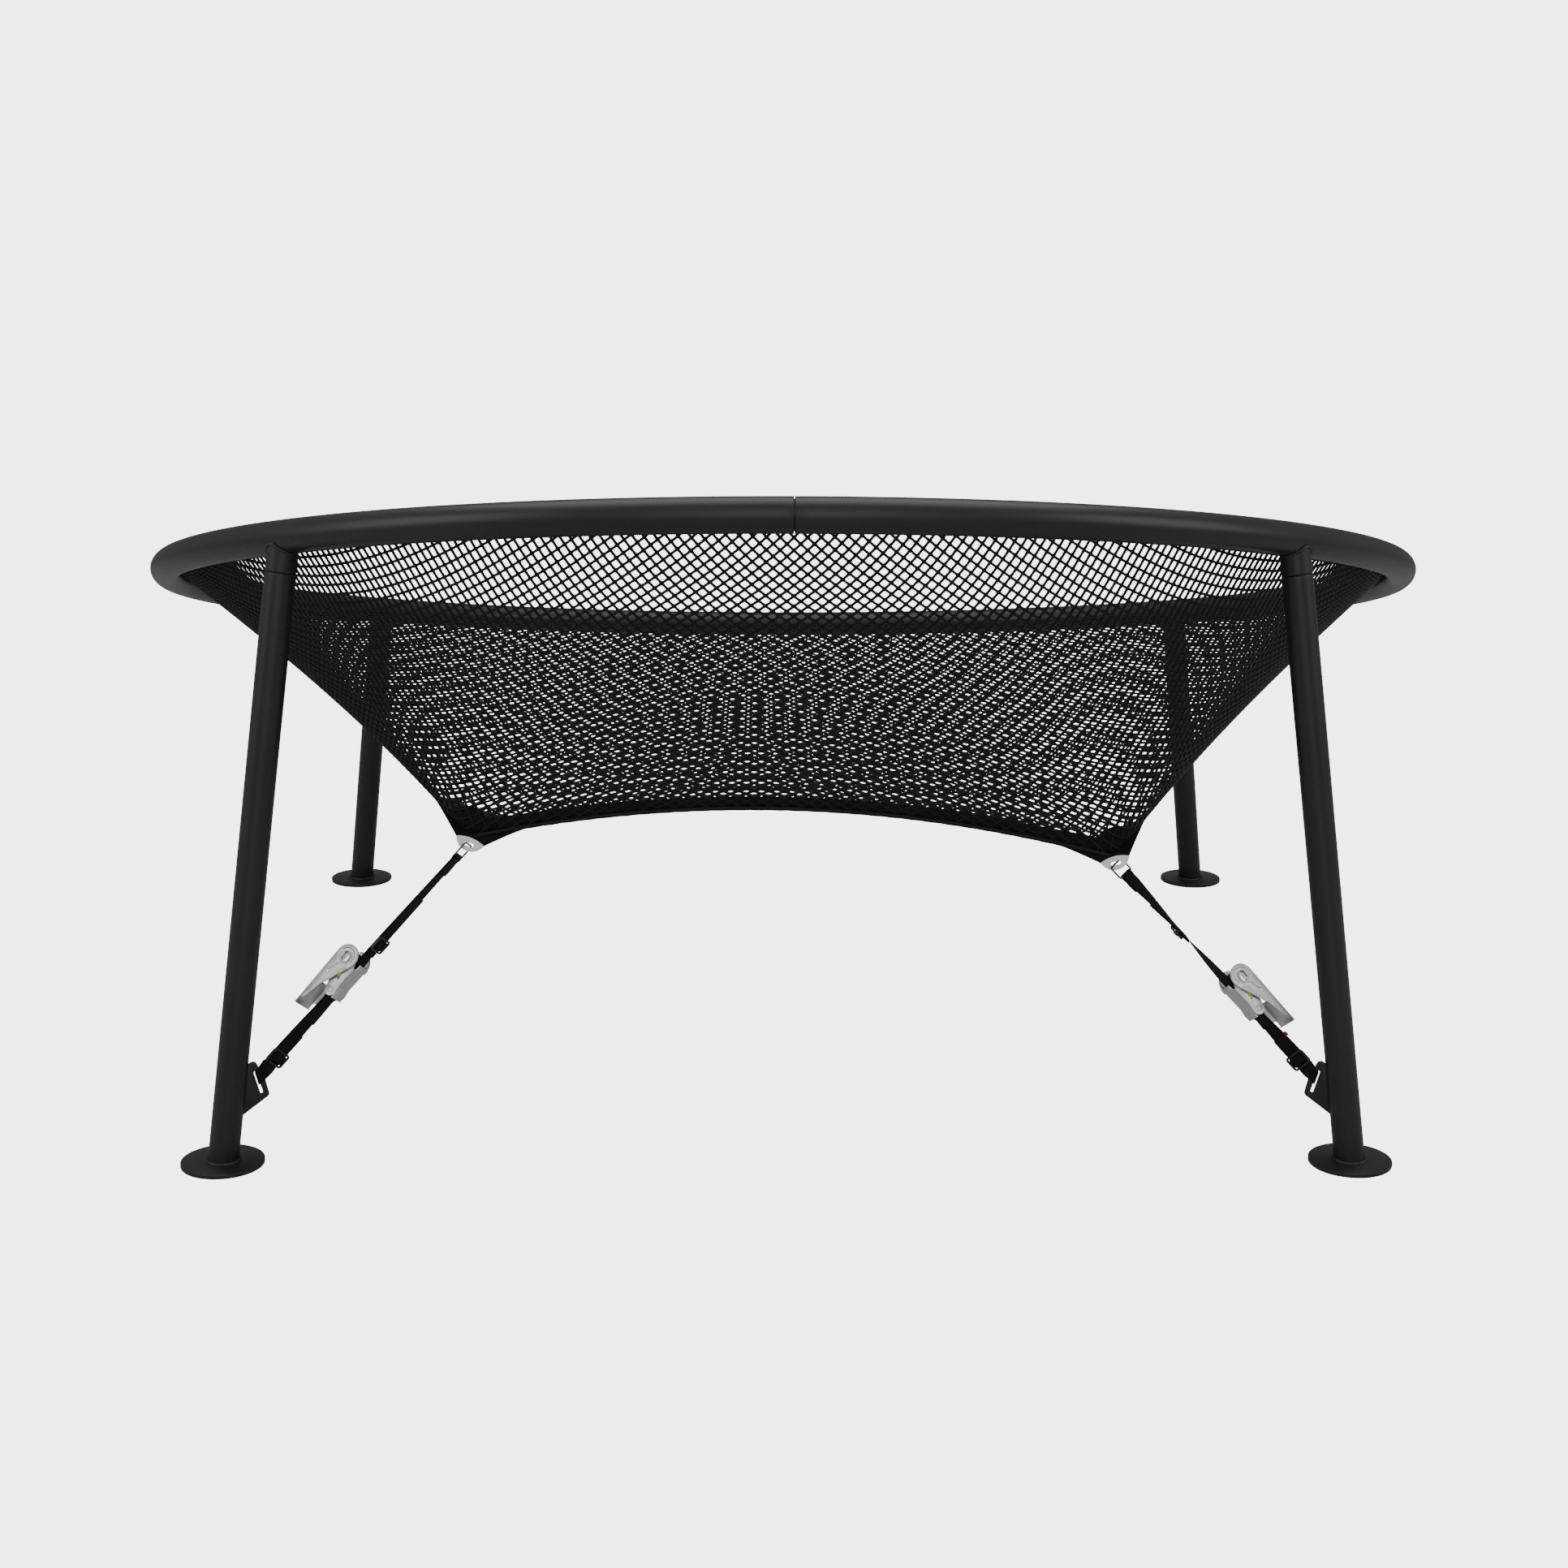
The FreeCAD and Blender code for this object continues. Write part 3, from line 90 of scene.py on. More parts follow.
# %% Small helpers for colours, nodes, meshes and lamps
def linear(code):
    """The linear colour of an sRGB hex code."""
    values = [int(code[i:i + 2], 16) / 255 for i in (1, 3, 5)]
    return tuple(v / 12.92 if v <= 0.04045 else ((v + 0.055) / 1.055) ** 2.4 for v in values) + (1.0,)


def wire(tree, node, sockets):
    """Fill a node's input sockets by name, or link them where another node's output is given."""
    for name, value in sockets.items():
        if isinstance(value, bpy.types.NodeSocket):
            tree.links.new(value, node.inputs[name])
        else:
            node.inputs[name].default_value = value


def add(tree, kind, sockets=None, **settings):
    """Add a node with its settings, its values and its links."""
    made = tree.nodes.new(kind)
    for name, value in settings.items():
        setattr(made, name, value)
    wire(tree, made, sockets or {})
    return made


def mesh_piece(name, points, faces, edges=()):
    """A new smooth mesh object from points in metres, its faces and its loose edges."""
    mesh = bpy.data.meshes.new(name)
    mesh.from_pydata([tuple(p) for p in points], list(edges), faces)
    mesh.polygons.foreach_set("use_smooth", [True] * len(mesh.polygons))
    mesh.update()
    piece = bpy.data.objects.new(name, mesh)
    bpy.context.scene.collection.objects.link(piece)
    return piece


def area_light(name, place, aim, size, watts, height=None):
    """A soft box at a place, turned to aim at a point."""
    lamp = bpy.data.lights.new(name, "AREA")
    lamp.shape = "RECTANGLE"
    lamp.size = size
    lamp.size_y = height or size
    lamp.energy = watts
    piece = bpy.data.objects.new(name, lamp)
    piece.location = place
    piece.rotation_euler = (Vector(aim) - Vector(place)).to_track_quat("-Z", "Y").to_euler()
    bpy.context.scene.collection.objects.link(piece)
    return piece


def triangles(piece):
    """How many triangles a piece has."""
    return sum(len(polygon.vertices) - 2 for polygon in piece.data.polygons)


def hand_over(piece, body, slot, *solids):
    """Ride a finished piece on its body and hide the solids that it stands for; the slot is not used."""
    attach(piece, body)
    if solids:
        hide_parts(*solids)
    print(piece.name, "on", body, triangles(piece), "triangles")


print("helpers ready, mid grey is", round(linear("#808080")[0], 3))

# %% [markdown]
# ## Floor and light
# A black product is shot on a white sweep under large soft boxes. One curved sheet gives
# floor and background without a horizon line, a wide light above makes the long highlight on
# the top of the tube, and three weaker ones, at the sides and in front, open up the shadows.
# A real studio lights the paper on its own, so that it goes white while the room stays dim:
# here the paper has a glow of its own that only the camera sees, and the black tubes don't
# mirror it.

# %% A white sweep and four soft boxes
SWEEP_WIDTH, SWEEP_REACH, SWEEP_HEIGHT = 16.0, 7.0, 9.0
SWEEP_BEND = 2.5
PAPER_GLOW = 4.2
sweep_line = [(-SWEEP_REACH, 0.0)]
sweep_line += [(SWEEP_REACH - SWEEP_BEND * (1 - math.sin(a)), SWEEP_BEND * (1 - math.cos(a)))
               for a in np.linspace(0, math.pi / 2, 13)]
sweep_line.append((SWEEP_REACH, SWEEP_HEIGHT))
sweep_points = [(side * SWEEP_WIDTH / 2, depth, height) for depth, height in sweep_line for side in (-1, 1)]
sweep_faces = [(2 * i, 2 * i + 1, 2 * i + 3, 2 * i + 2) for i in range(len(sweep_line) - 1)]
sweep = mesh_piece("studio_sweep", sweep_points, sweep_faces)
paper = bpy.data.materials.new("white_background_paper")
paper.use_nodes = True
eye_ray = add(paper.node_tree, "ShaderNodeLightPath")
glow = add(paper.node_tree, "ShaderNodeMath", {0: eye_ray.outputs["Is Camera Ray"], 1: PAPER_GLOW},
           operation="MULTIPLY")
wire(paper.node_tree, paper.node_tree.nodes["Principled BSDF"],
     {"Base Color": linear("#b4b4b4"), "Roughness": 0.9, "Specular IOR Level": 0.0,
      "Emission Color": linear("#ffffff"), "Emission Strength": glow.outputs["Value"]})
sweep.data.materials.append(paper)

area_light("overhead_box", (0.0, 0.4, 4.6), (0, 0.1, 0.5), 5.0, 150, 4.0)
area_light("left_box", (-4.2, -2.2, 2.6), (0, 0, 0.6), 2.6, 60)
area_light("right_box", (4.2, -2.2, 2.6), (0, 0, 0.6), 2.6, 60)
area_light("front_fill", (0.0, -5.2, 2.4), (0, 0, 0.5), 3.5, 60)
world = bpy.data.worlds.new("studio")
world.use_nodes = True
wire(world.node_tree, world.node_tree.nodes["Background"], {"Color": linear("#ffffff"), "Strength": 0.35})
bpy.context.scene.world = world

# %% [markdown]
# ## Finishes
# Each finish is named for the real one. The frame is powder coated: a polyester powder is
# sprayed on bare steel and baked, which leaves a satin skin with a very fine orange peel.
# Its bumps are about a millimetre across, so the noise runs at about 900 cycles a metre.
# Most finishes here are alike in kind, so one function makes them: a slow cloud drifts between
# two tones, and often between two degrees of gloss, and a quick grain makes the bump.

# %% Satin black powder coat
def new_material(name):
    """An empty material, its tree, its shader, and the coordinates that patterns use."""
    material = bpy.data.materials.new(name)
    material.use_nodes = True
    tree = material.node_tree
    return material, tree, tree.nodes["Principled BSDF"], add(tree, "ShaderNodeTexCoord")


def two_tone(tree, pattern, dark, light, low, high):
    """The colour that a pattern picks between two hex codes."""
    ramp = add(tree, "ShaderNodeValToRGB", {"Fac": pattern})
    for element, position, code in zip(ramp.color_ramp.elements, (low, high), (dark, light)):
        element.position, element.color = position, linear(code)
    return ramp.outputs["Color"]


def clouded(name, dark, light, cloud, grain, bump, gloss, sockets=None, low=0.35, high=0.65):
    """A finish from a cloud and a grain, each (cycles a metre, detail), and a (strength, metres) bump.

    The gloss is one roughness, or two that follow the cloud.
    """
    material, tree, shader, place = new_material(name)
    drift, fine = [add(tree, "ShaderNodeTexNoise", {"Vector": place.outputs["Object"], "Scale": scale,
                                                    "Detail": detail}).outputs["Fac"]
                   for scale, detail in (cloud, grain)]
    relief = add(tree, "ShaderNodeBump", {"Height": fine, "Strength": bump[0], "Distance": bump[1]})
    rough = gloss
    if isinstance(gloss, tuple):
        rough = add(tree, "ShaderNodeMapRange", {"Value": drift, "To Min": gloss[0],
                                                 "To Max": gloss[1]}).outputs["Result"]
    wire(tree, shader, {"Base Color": two_tone(tree, drift, dark, light, low, high), "Roughness": rough,
                        "Normal": relief.outputs["Normal"], **(sockets or {})})
    return material


powder_coat = clouded("satin_black_powder_coat", "#161617", "#1c1c1e", (6.0, 3.0), (900.0, 2.0),
                      (0.12, 0.0004), (0.36, 0.46), {"Specular IOR Level": 0.4})
print("finish", powder_coat.name)

# %% [markdown]
# The net is braided polyester with a black coating, and the straps are woven polyester. Both
# are dull and very dark, with hardly any shine of their own. The cord's own braid
# repeats about every 2 mm, and the webbing's ribs cross it every 1.2 mm. The webbing's
# pattern follows its own UV map, measured in metres along and across the strap.

# %% Coated net cord, rim tape and woven webbing
net_cord = clouded("coated_polyester_net_cord", "#060606", "#0c0c0d", (480.0, 3.0), (480.0, 3.0),
                   (0.35, 0.0006), 0.55, {"Specular IOR Level": 0.25})


def woven(name, dark, light, rib, sheen):
    """Woven tape: ribs across it at a spacing in metres, and yarns along it, by UV in metres."""
    material, tree, shader, place = new_material(name)
    ribs, yarns = [add(tree, "ShaderNodeTexWave",
                       {"Vector": place.outputs["UV"], "Scale": math.pi / rib / part, "Distortion": wobble,
                        "Detail": 1.0}, bands_direction=way).outputs["Fac"]
                   for way, part, wobble in (("Y", 10, 0.6), ("X", 7, 0.4))]
    weave = add(tree, "ShaderNodeMath", {0: ribs, 1: yarns}, operation="MULTIPLY").outputs["Value"]
    relief = add(tree, "ShaderNodeBump", {"Height": weave, "Strength": 0.6, "Distance": 0.0005})
    wire(tree, shader, {"Base Color": two_tone(tree, weave, dark, light, 0.1, 0.8), "Roughness": 0.72,
                        "Specular IOR Level": 0.2, "Sheen Weight": sheen, "Sheen Roughness": 0.45,
                        "Normal": relief.outputs["Normal"]})
    return material


rim_tape = woven("woven_rim_tape", "#050505", "#0c0c0d", 0.0016, 0.01)
webbing = woven("woven_polyester_webbing", "#050505", "#0f0f10", 0.0012, 0.015)
red_cloth = woven("red_woven_tab", "#6e0f14", "#a3161d", 0.0009, 0.1)
print("finishes", net_cord.name, rim_tape.name, webbing.name, red_cloth.name)

# %% [markdown]
# The ratchets are pressed from sheet steel and zinc plated. Fresh zinc is light grey with a
# faint cloudy spangle, a little rough, and brighter where tools have rubbed it. A darker copy
# of the zinc on the pressed lines is painted shade, for the dark line that a pressed groove
# shows. The lock pawls are yellow passivated zinc. The wire links are nickel plated and much
# smoother. A metal has no base grey of its own but a tinted mirror, so metallic is one on all of them.

# %% Plated metals
def plated(name, dark, light, gloss, cycles):
    """Plated metal: a cloud in its tone and its gloss, and fine scratches."""
    return clouded(name, dark, light, (cycles, 4.0), (1400.0, 1.0), (0.1, 0.0002), gloss,
                   {"Metallic": 1.0}, 0.3, 0.7)


zinc = plated("bright_zinc_plate", "#cfd0d2", "#e6e6e7", (0.34, 0.46), 160.0)
# A darker zinc for the pressed lines: painted shade standing in for the shadow in their grooves.
press_line_painted_shade_zinc = plated("zinc_plate_darkened_for_painted_shade_in_press_lines", "#5c5d5f", "#7f8082", (0.4, 0.5), 160.0)
spindle_steel = plated("nickel_plated_spindle_steel", "#c2c3c4", "#dcdddd", (0.14, 0.24), 200.0)
yellow_zinc = plated("yellow_passivated_zinc", "#a98d43", "#d2b562", (0.3, 0.42), 220.0)
nickel_wire = plated("nickel_plated_wire", "#3e3f41", "#77787a", (0.14, 0.26), 260.0)
spring_wire = plated("oiled_spring_wire", "#6a6b6d", "#8d8e90", (0.25, 0.35), 400.0)
print("finishes", zinc.name, yellow_zinc.name, nickel_wire.name)

# %% [markdown]
# Two plastics are left. The sliders are moulded in black acetal, which is slightly waxy, and
# the corner plates in light grey nylon. A moulded surface has a fine spark-eroded grain of
# about 0.3 mm, and it is the edges that catch the light.

# %% Moulded plastics
def moulded(name, dark, light, rough):
    """Moulded plastic with a fine eroded grain."""
    return clouded(name, dark, light, (90.0, 2.0), (2600.0, 1.0), (0.15, 0.0002), rough)


acetal = moulded("black_moulded_acetal", "#161618", "#1f1f22", 0.42)
nylon = moulded("light_grey_moulded_nylon", "#e4e5e6", "#f2f2f3", 0.34)
print("finishes", acetal.name, nylon.name)

# %% [markdown]
# ## Finishing the engineered solids
# The solids that are already the right shape stay: foot plates, anchor plates, sliders, corner
# plates and every solid piece of the ratchets. Real edges are never knife sharp, so live
# modifiers weld each solid's loose triangles, round its edges a little and shade it smooth
# between them. The shading is a small node tree, because the solids' own meshes stay as they are.

# %% Node tree: smooth shading up to an edge angle
EDGE_ANGLE = math.radians(32)


def interface(tree, inputs):
    """Give a geometry tree its geometry sockets and its named inputs."""
    tree.interface.new_socket("Geometry", in_out="INPUT", socket_type="NodeSocketGeometry")
    for name, kind, value in inputs:
        socket = tree.interface.new_socket(name, in_out="INPUT", socket_type=kind)
        if value is not None:
            socket.default_value = value
    tree.interface.new_socket("Geometry", in_out="OUTPUT", socket_type="NodeSocketGeometry")
    return add(tree, "NodeGroupInput"), add(tree, "NodeGroupOutput")


def use_tree(piece, tree, values):
    """Put a geometry tree on a piece and set its inputs by their identifiers."""
    modifier = piece.modifiers.new(tree.name, "NODES")
    modifier.node_group = tree
    for item in tree.interface.items_tree:
        if item.item_type == "SOCKET" and item.in_out == "INPUT" and item.name in values:
            modifier[item.identifier] = values[item.name]


shading = bpy.data.node_groups.new("smooth_between_edges", "GeometryNodeTree")
given, result = interface(shading, [("Edge angle", "NodeSocketFloat", EDGE_ANGLE)])
bend = add(shading, "GeometryNodeInputMeshEdgeAngle")
sharp = add(shading, "FunctionNodeCompare",
            {"A": bend.outputs["Unsigned Angle"], "B": given.outputs["Edge angle"]},
            data_type="FLOAT", operation="GREATER_THAN")
smooth = add(shading, "GeometryNodeSetShadeSmooth", {"Geometry": given.outputs["Geometry"]}, domain="FACE")
crisp = add(shading, "GeometryNodeSetShadeSmooth",
            {"Geometry": smooth.outputs["Geometry"], "Selection": sharp.outputs["Result"],
             "Shade Smooth": False}, domain="EDGE")
wire(shading, result, {"Geometry": crisp.outputs["Geometry"]})
print("tree", shading.name, len(shading.nodes), "nodes")

# %% [markdown]
# Each solid gets the rounding that its making leaves: pressed sheet has edges of a third to
# half a millimetre, cut plate about one, and a moulding as much as its mould has. What hides
# inside the tubes and the net gets none.

# %% Dress the solids that stay
def dress(node, material, edge):
    """Weld, round and smooth an engineered solid, and give it its finish."""
    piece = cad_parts[node]
    piece.data.materials.clear()
    piece.data.materials.append(material)
    weld = piece.modifiers.new("weld", "WELD")
    weld.merge_threshold = 0.00002
    if edge:
        rounding = piece.modifiers.new("edge_rounding", "BEVEL")
        rounding.width = edge
        rounding.segments = 2
        rounding.limit_method = "ANGLE"
        rounding.angle_limit = EDGE_ANGLE
    use_tree(piece, shading, {"Edge angle": EDGE_ANGLE})


dressed = [("foot_plates", powder_coat, 0.0012), ("anchor_plates", powder_coat, 0.0008),
           ("net_lugs", powder_coat, 0.0), ("ring_spigots", powder_coat, 0.0),
           ("strap_sliders", acetal, 0.0006), ("corner_plates", nylon, 0.0009),
           ("ratchet_frames", zinc, 0.0004)]
for side in ("left", "right"):
    dressed += [("ratchet_handle_" + side, zinc, 0.0005), ("spindle_" + side, spindle_steel, 0.0003),
                ("drive_pawl_" + side, zinc, 0.0003), ("lock_pawl_" + side, yellow_zinc, 0.0003)]
for node, material, edge in dressed:
    dress(node, material, edge)
print("dressed solids", len(dressed))

# %% [markdown]
# ## A tree for everything made of cord
# Net strands, weld beads, springs and the wire links are all the same thing: a round section
# carried along a line. One node tree makes them. Its inputs are the thickness, the number of
# sides and the finish, and each point of the line can swell or thin the section.

# %% Node tree: a round section along lines
cord_tree = bpy.data.node_groups.new("round_section_along_lines", "GeometryNodeTree")
given, result = interface(cord_tree, [("Thickness", "NodeSocketFloat", 0.003),
                                      ("Sides", "NodeSocketInt", 6),
                                      ("Finish", "NodeSocketMaterial", None)])
lines = add(cord_tree, "GeometryNodeMeshToCurve", {"Mesh": given.outputs["Geometry"]})
half = add(cord_tree, "ShaderNodeMath", {0: given.outputs["Thickness"], 1: 0.5}, operation="MULTIPLY")
ring_section = add(cord_tree, "GeometryNodeCurvePrimitiveCircle",
                   {"Resolution": given.outputs["Sides"], "Radius": half.outputs["Value"]})
swell = add(cord_tree, "GeometryNodeInputNamedAttribute", {"Name": "swell"}, data_type="FLOAT")
tube = add(cord_tree, "GeometryNodeCurveToMesh",
           {"Curve": lines.outputs["Curve"], "Profile Curve": ring_section.outputs["Curve"],
            "Scale": swell.outputs["Attribute"], "Fill Caps": True})
soft_shade = add(cord_tree, "GeometryNodeSetShadeSmooth", {"Geometry": tube.outputs["Mesh"]}, domain="FACE")
whole = add(cord_tree, "GeometryNodeRealizeInstances", {"Geometry": soft_shade.outputs["Geometry"]})
finish = add(cord_tree, "GeometryNodeSetMaterial",
             {"Geometry": whole.outputs["Geometry"], "Material": given.outputs["Finish"]})
wire(cord_tree, result, {"Geometry": finish.outputs["Geometry"]})
print("tree", cord_tree.name, len(cord_tree.nodes), "nodes")

# %% [markdown]
# A chain of points becomes a mesh of loose edges, the tree turns that into a tube, and the
# result is taken over as a plain mesh, because an exported model holds no live node trees.

# %% Cords from chains of points
def cords(name, chains, thickness, sides, material, closed=False):
    """Sweep a round section along chains of points; a point may carry a fourth number, its swell."""
    points, edges, swells = [], [], []
    for chain in chains:
        first = len(points)
        for point in chain:
            points.append(tuple(point[:3]))
            swells.append(point[3] if len(point) > 3 else 1.0)
        edges += [(i, i + 1) for i in range(first, len(points) - 1)]
        if closed:
            edges.append((len(points) - 1, first))
    piece = mesh_piece(name, points, [], edges)
    attribute = piece.data.attributes.new("swell", "FLOAT", "POINT")
    attribute.data.foreach_set("value", np.array(swells, np.float32))
    use_tree(piece, cord_tree, {"Thickness": thickness, "Sides": sides, "Finish": material})
    return plain(piece)


def plain(piece):
    """Turn a piece with node trees into a plain mesh and drop its modifiers."""
    graph = bpy.context.evaluated_depsgraph_get()
    mesh = bpy.data.meshes.new_from_object(piece.evaluated_get(graph), depsgraph=graph)
    piece.modifiers.clear()
    piece.data = mesh
    mesh.name = piece.name
    return piece


print("cords are swept by", cord_tree.name)

# %% [markdown]
# ## The ring
# The ring is two half circles of 48.3 mm tube that meet in front and behind, joined by plugs.
# The engineered halves are rolled in short straights, so the visible ones are made again as
# true arcs: a circle of points carried round in small steps, its ends slightly rounded where
# the tube was cut. The stubs for the legs are welded underneath.

# %% Ring sizes and directions
RING_RADIUS = 1.010
TUBE_RADIUS = 0.02415
RING_TILT = math.radians(14.0)
RING_HEIGHT = 0.721
SEAM_GAP = 0.001
SEAM_ROUND = 0.0012
RING_STEPS = 132
TUBE_SIDES = 40
ring_centre = np.array([0.0, 0.0, RING_HEIGHT])
ring_u = np.array([1.0, 0.0, 0.0])
ring_v = np.array([0.0, math.cos(RING_TILT), -math.sin(RING_TILT)])
ring_normal = np.array([0.0, math.sin(RING_TILT), math.cos(RING_TILT)])


def ring_point(angle, radius=RING_RADIUS):
    """Points in the ring's plane at angles in radians, as rows of an array."""
    angle = np.asarray(angle, float)
    along = np.cos(angle)[..., None] * ring_u + np.sin(angle)[..., None] * ring_v
    return ring_centre + along * np.asarray(radius)[..., None]


print("ring stands from", round(float(ring_point(math.pi / 2)[2]), 3), "to",
      round(float(ring_point(-math.pi / 2)[2]), 3))

# %% [markdown]
# A tube, a band and a ribbon are all the same kind of surface: sections with the same number
# of points, joined by rows of four-sided faces. One function skins them. A closed skin runs
# round into itself, an open one gets a flat cap at each end, and a woven piece gets a UV map.

# %% A skin over sections
def outward(piece):
    """Turn every face of a closed mesh outwards."""
    work = bmesh.new()
    work.from_mesh(piece.data)
    bmesh.ops.recalc_face_normals(work, faces=work.faces)
    work.to_mesh(piece.data)
    work.free()


def skinned(name, sections, material, closed=False, uv=None):
    """A mesh over sections that have the same number of points, with an optional UV per point."""
    sections = np.asarray(sections, float)
    steps, count = sections.shape[:2]
    faces, corners = [], []
    for i in range(steps if closed else steps - 1):
        j = (i + 1) % steps
        for k in range(count):
            m = (k + 1) % count
            faces.append((i * count + k, i * count + m, j * count + m, j * count + k))
            corners.append(((i, k), (i, k + 1), (i + 1, k + 1), (i + 1, k)))
    if not closed:
        for i, ring in ((0, range(count - 1, -1, -1)), (steps - 1, range(count))):
            faces.append(tuple(i * count + k for k in ring))
            corners.append(tuple((i, k) for k in ring))
    piece = mesh_piece(name, sections.reshape(-1, 3), faces)
    if uv is not None:
        layer = piece.data.uv_layers.new(name="tape")
        flat = [value for corner in corners for i, k in corner for value in uv(i, k)]
        layer.data.foreach_set("uv", flat)
    outward(piece)
    piece.data.materials.append(material)
    return piece


print("skins are ready for the ring's", 2 * RING_STEPS, "steps")

# %% [markdown]
# Each half is skinned over round sections that stand square to the circle. Its two ends draw
# in by about a millimetre over three sections, which leaves the fine dark line of the seam.

# %% Two halves of smooth tube
HALF_ENDS = [(0.0, TUBE_RADIUS - SEAM_ROUND * 0.8), (0.35, TUBE_RADIUS - SEAM_ROUND * 0.3)]


def tube_sections(angles, radii):
    """Round sections of the ring's tube at given angles."""
    spin = np.linspace(0, 2 * math.pi, TUBE_SIDES, endpoint=False)
    made = []
    for angle, radius in zip(angles, radii):
        outwards = math.cos(angle) * ring_u + math.sin(angle) * ring_v
        circle = np.cos(spin)[:, None] * outwards + np.sin(spin)[:, None] * ring_normal
        made.append(ring_point(angle) + radius * circle)
    return made


for side, start in (("left", math.pi / 2), ("right", -math.pi / 2)):
    trim = SEAM_GAP / 2 / RING_RADIUS
    ease = SEAM_ROUND / RING_RADIUS
    arc = np.linspace(start + trim + ease, start + math.pi - trim - ease, RING_STEPS + 1)
    angles = [start + trim + ease * share for share, radius in HALF_ENDS] + list(arc)
    angles += [start + math.pi - trim - ease * share for share, radius in reversed(HALF_ENDS)]
    radii = [radius for share, radius in HALF_ENDS] + [TUBE_RADIUS] * len(arc)
    radii += [radius for share, radius in reversed(HALF_ENDS)]
    half_ring = skinned("ring_tube_" + side, tube_sections(angles, radii), powder_coat)
    hand_over(half_ring, "base", "black_coat", "ring_half_" + side)

# %% [markdown]
# ## Legs, stubs and weld beads
# Each leg is a straight tube that leans outwards, from the ring's underside to a round foot
# plate. Its angle round the ring and its two leans place it, so a small table holds them: side,
# depth, angle, lean to the side and lean in depth.

# %% Where each leg meets the ring and the floor
LEG_RADIUS = 0.022
LEGS = {"near_left": (-1, -1, 46.0, 7.2, 5.0), "near_right": (1, -1, 46.0, 7.2, 5.0),
        "far_left": (-1, 1, 40.0, 7.0, 6.3), "far_right": (1, 1, 40.0, 7.0, 6.3)}


def leg_line(corner):
    """The leg's top on the ring's centreline, its foot on the floor, and the way up it."""
    side, depth, angle, out, along = LEGS[corner]
    angle = math.radians(angle)
    top = ring_centre + ring_u * (RING_RADIUS * math.cos(angle) * side)
    top = top + ring_v * (RING_RADIUS * math.sin(angle) * depth)
    foot = np.array([top[0] + side * math.tan(math.radians(out)) * top[2],
                     top[1] + depth * math.tan(math.radians(along)) * top[2], 0.0])
    way = top - foot
    return top, foot, way / np.linalg.norm(way)


def square_to(way):
    """Two directions square to a given one."""
    first = np.cross(way, [0.0, 1.0, 0.0])
    first = first / np.linalg.norm(first)
    return first, np.cross(way, first)


print("leg lengths", [round(float(np.linalg.norm(np.subtract(*leg_line(corner)[:2]))), 3) for corner in LEGS])

# %% [markdown]
# A hand-laid weld shows as a row of small overlapping ripples, so each bead is a cord that
# follows the line where two tubes meet, and its thickness rises and falls every few
# millimetres. At the ring that line has no simple formula. It is found point by point, by
# halving a stretch of the leg's wall until its end lies on the ring's surface.

# %% Weld beads at the ring and on the foot plates
FOOT_TOP = 0.006
BEAD_STEPS = 90
RING_BEAD, FOOT_BEAD = 0.0052, 0.0062


def distance_to_ring(point):
    """How far a point is from the ring's centreline."""
    offset = point - ring_centre
    rise = offset @ ring_normal
    flat = np.linalg.norm(offset - rise * ring_normal)
    return math.hypot(flat - RING_RADIUS, rise)


def ripple(i, seed):
    """The swell of a weld bead at its i-th point: steady ripples with an uneven hand."""
    return 1.0 + 0.16 * math.sin(i * 2.1 + seed) + 0.08 * math.sin(i * 0.37 + 2 * seed)


def inside_ring(wall, way):
    """How far down from the ring's centreline a line of the leg's wall stays inside the ring's tube."""
    near_end, far_end = 0.0, 2.5 * TUBE_RADIUS
    for step in range(30):
        middle = (near_end + far_end) / 2
        if distance_to_ring(wall - way * middle) < TUBE_RADIUS:
            near_end = middle
        else:
            far_end = middle
    return near_end


def lay_beads(number, corner):
    """Both weld beads of one leg."""
    top, foot, way = leg_line(corner)
    across, beside = square_to(way)
    at_ring, at_foot = [], []
    for i in range(BEAD_STEPS):
        turn = 2 * math.pi * i / BEAD_STEPS
        wall = LEG_RADIUS * (math.cos(turn) * across + math.sin(turn) * beside)
        at_ring.append((*(top + wall - way * (inside_ring(top + wall, way) + 0.0006)), ripple(i, number + 1)))
        drop = (foot + wall)[2] - FOOT_TOP
        at_foot.append((*(foot + wall * 1.02 - way * (drop / way[2])), ripple(i, number + 5)))
    for place, line, thickness in (("ring", at_ring, RING_BEAD), ("foot", at_foot, FOOT_BEAD)):
        bead = cords("weld_at_%s_%s" % (place, corner), [line], thickness, 8, powder_coat, closed=True)
        hand_over(bead, "base", "black_coat")


print("beads swell between", *[round(f(ripple(i, 1) for i in range(BEAD_STEPS)), 2) for f in (min, max)])

# %% [markdown]
# The leg slips over a short stub that is welded under the ring, and a fine dark line shows where
# the two tubes end. The engineered legs are cut in long facets, so stub and leg are skinned
# again over smooth rounds of points. A long tube that ends in a tight rounding needs one more
# round of points close to it, or the smooth shading smears the rounding along the whole tube.

# %% Smooth stubs and legs that meet at the seam
SEAM_AT = 0.049
FOOT_SINK = 0.004
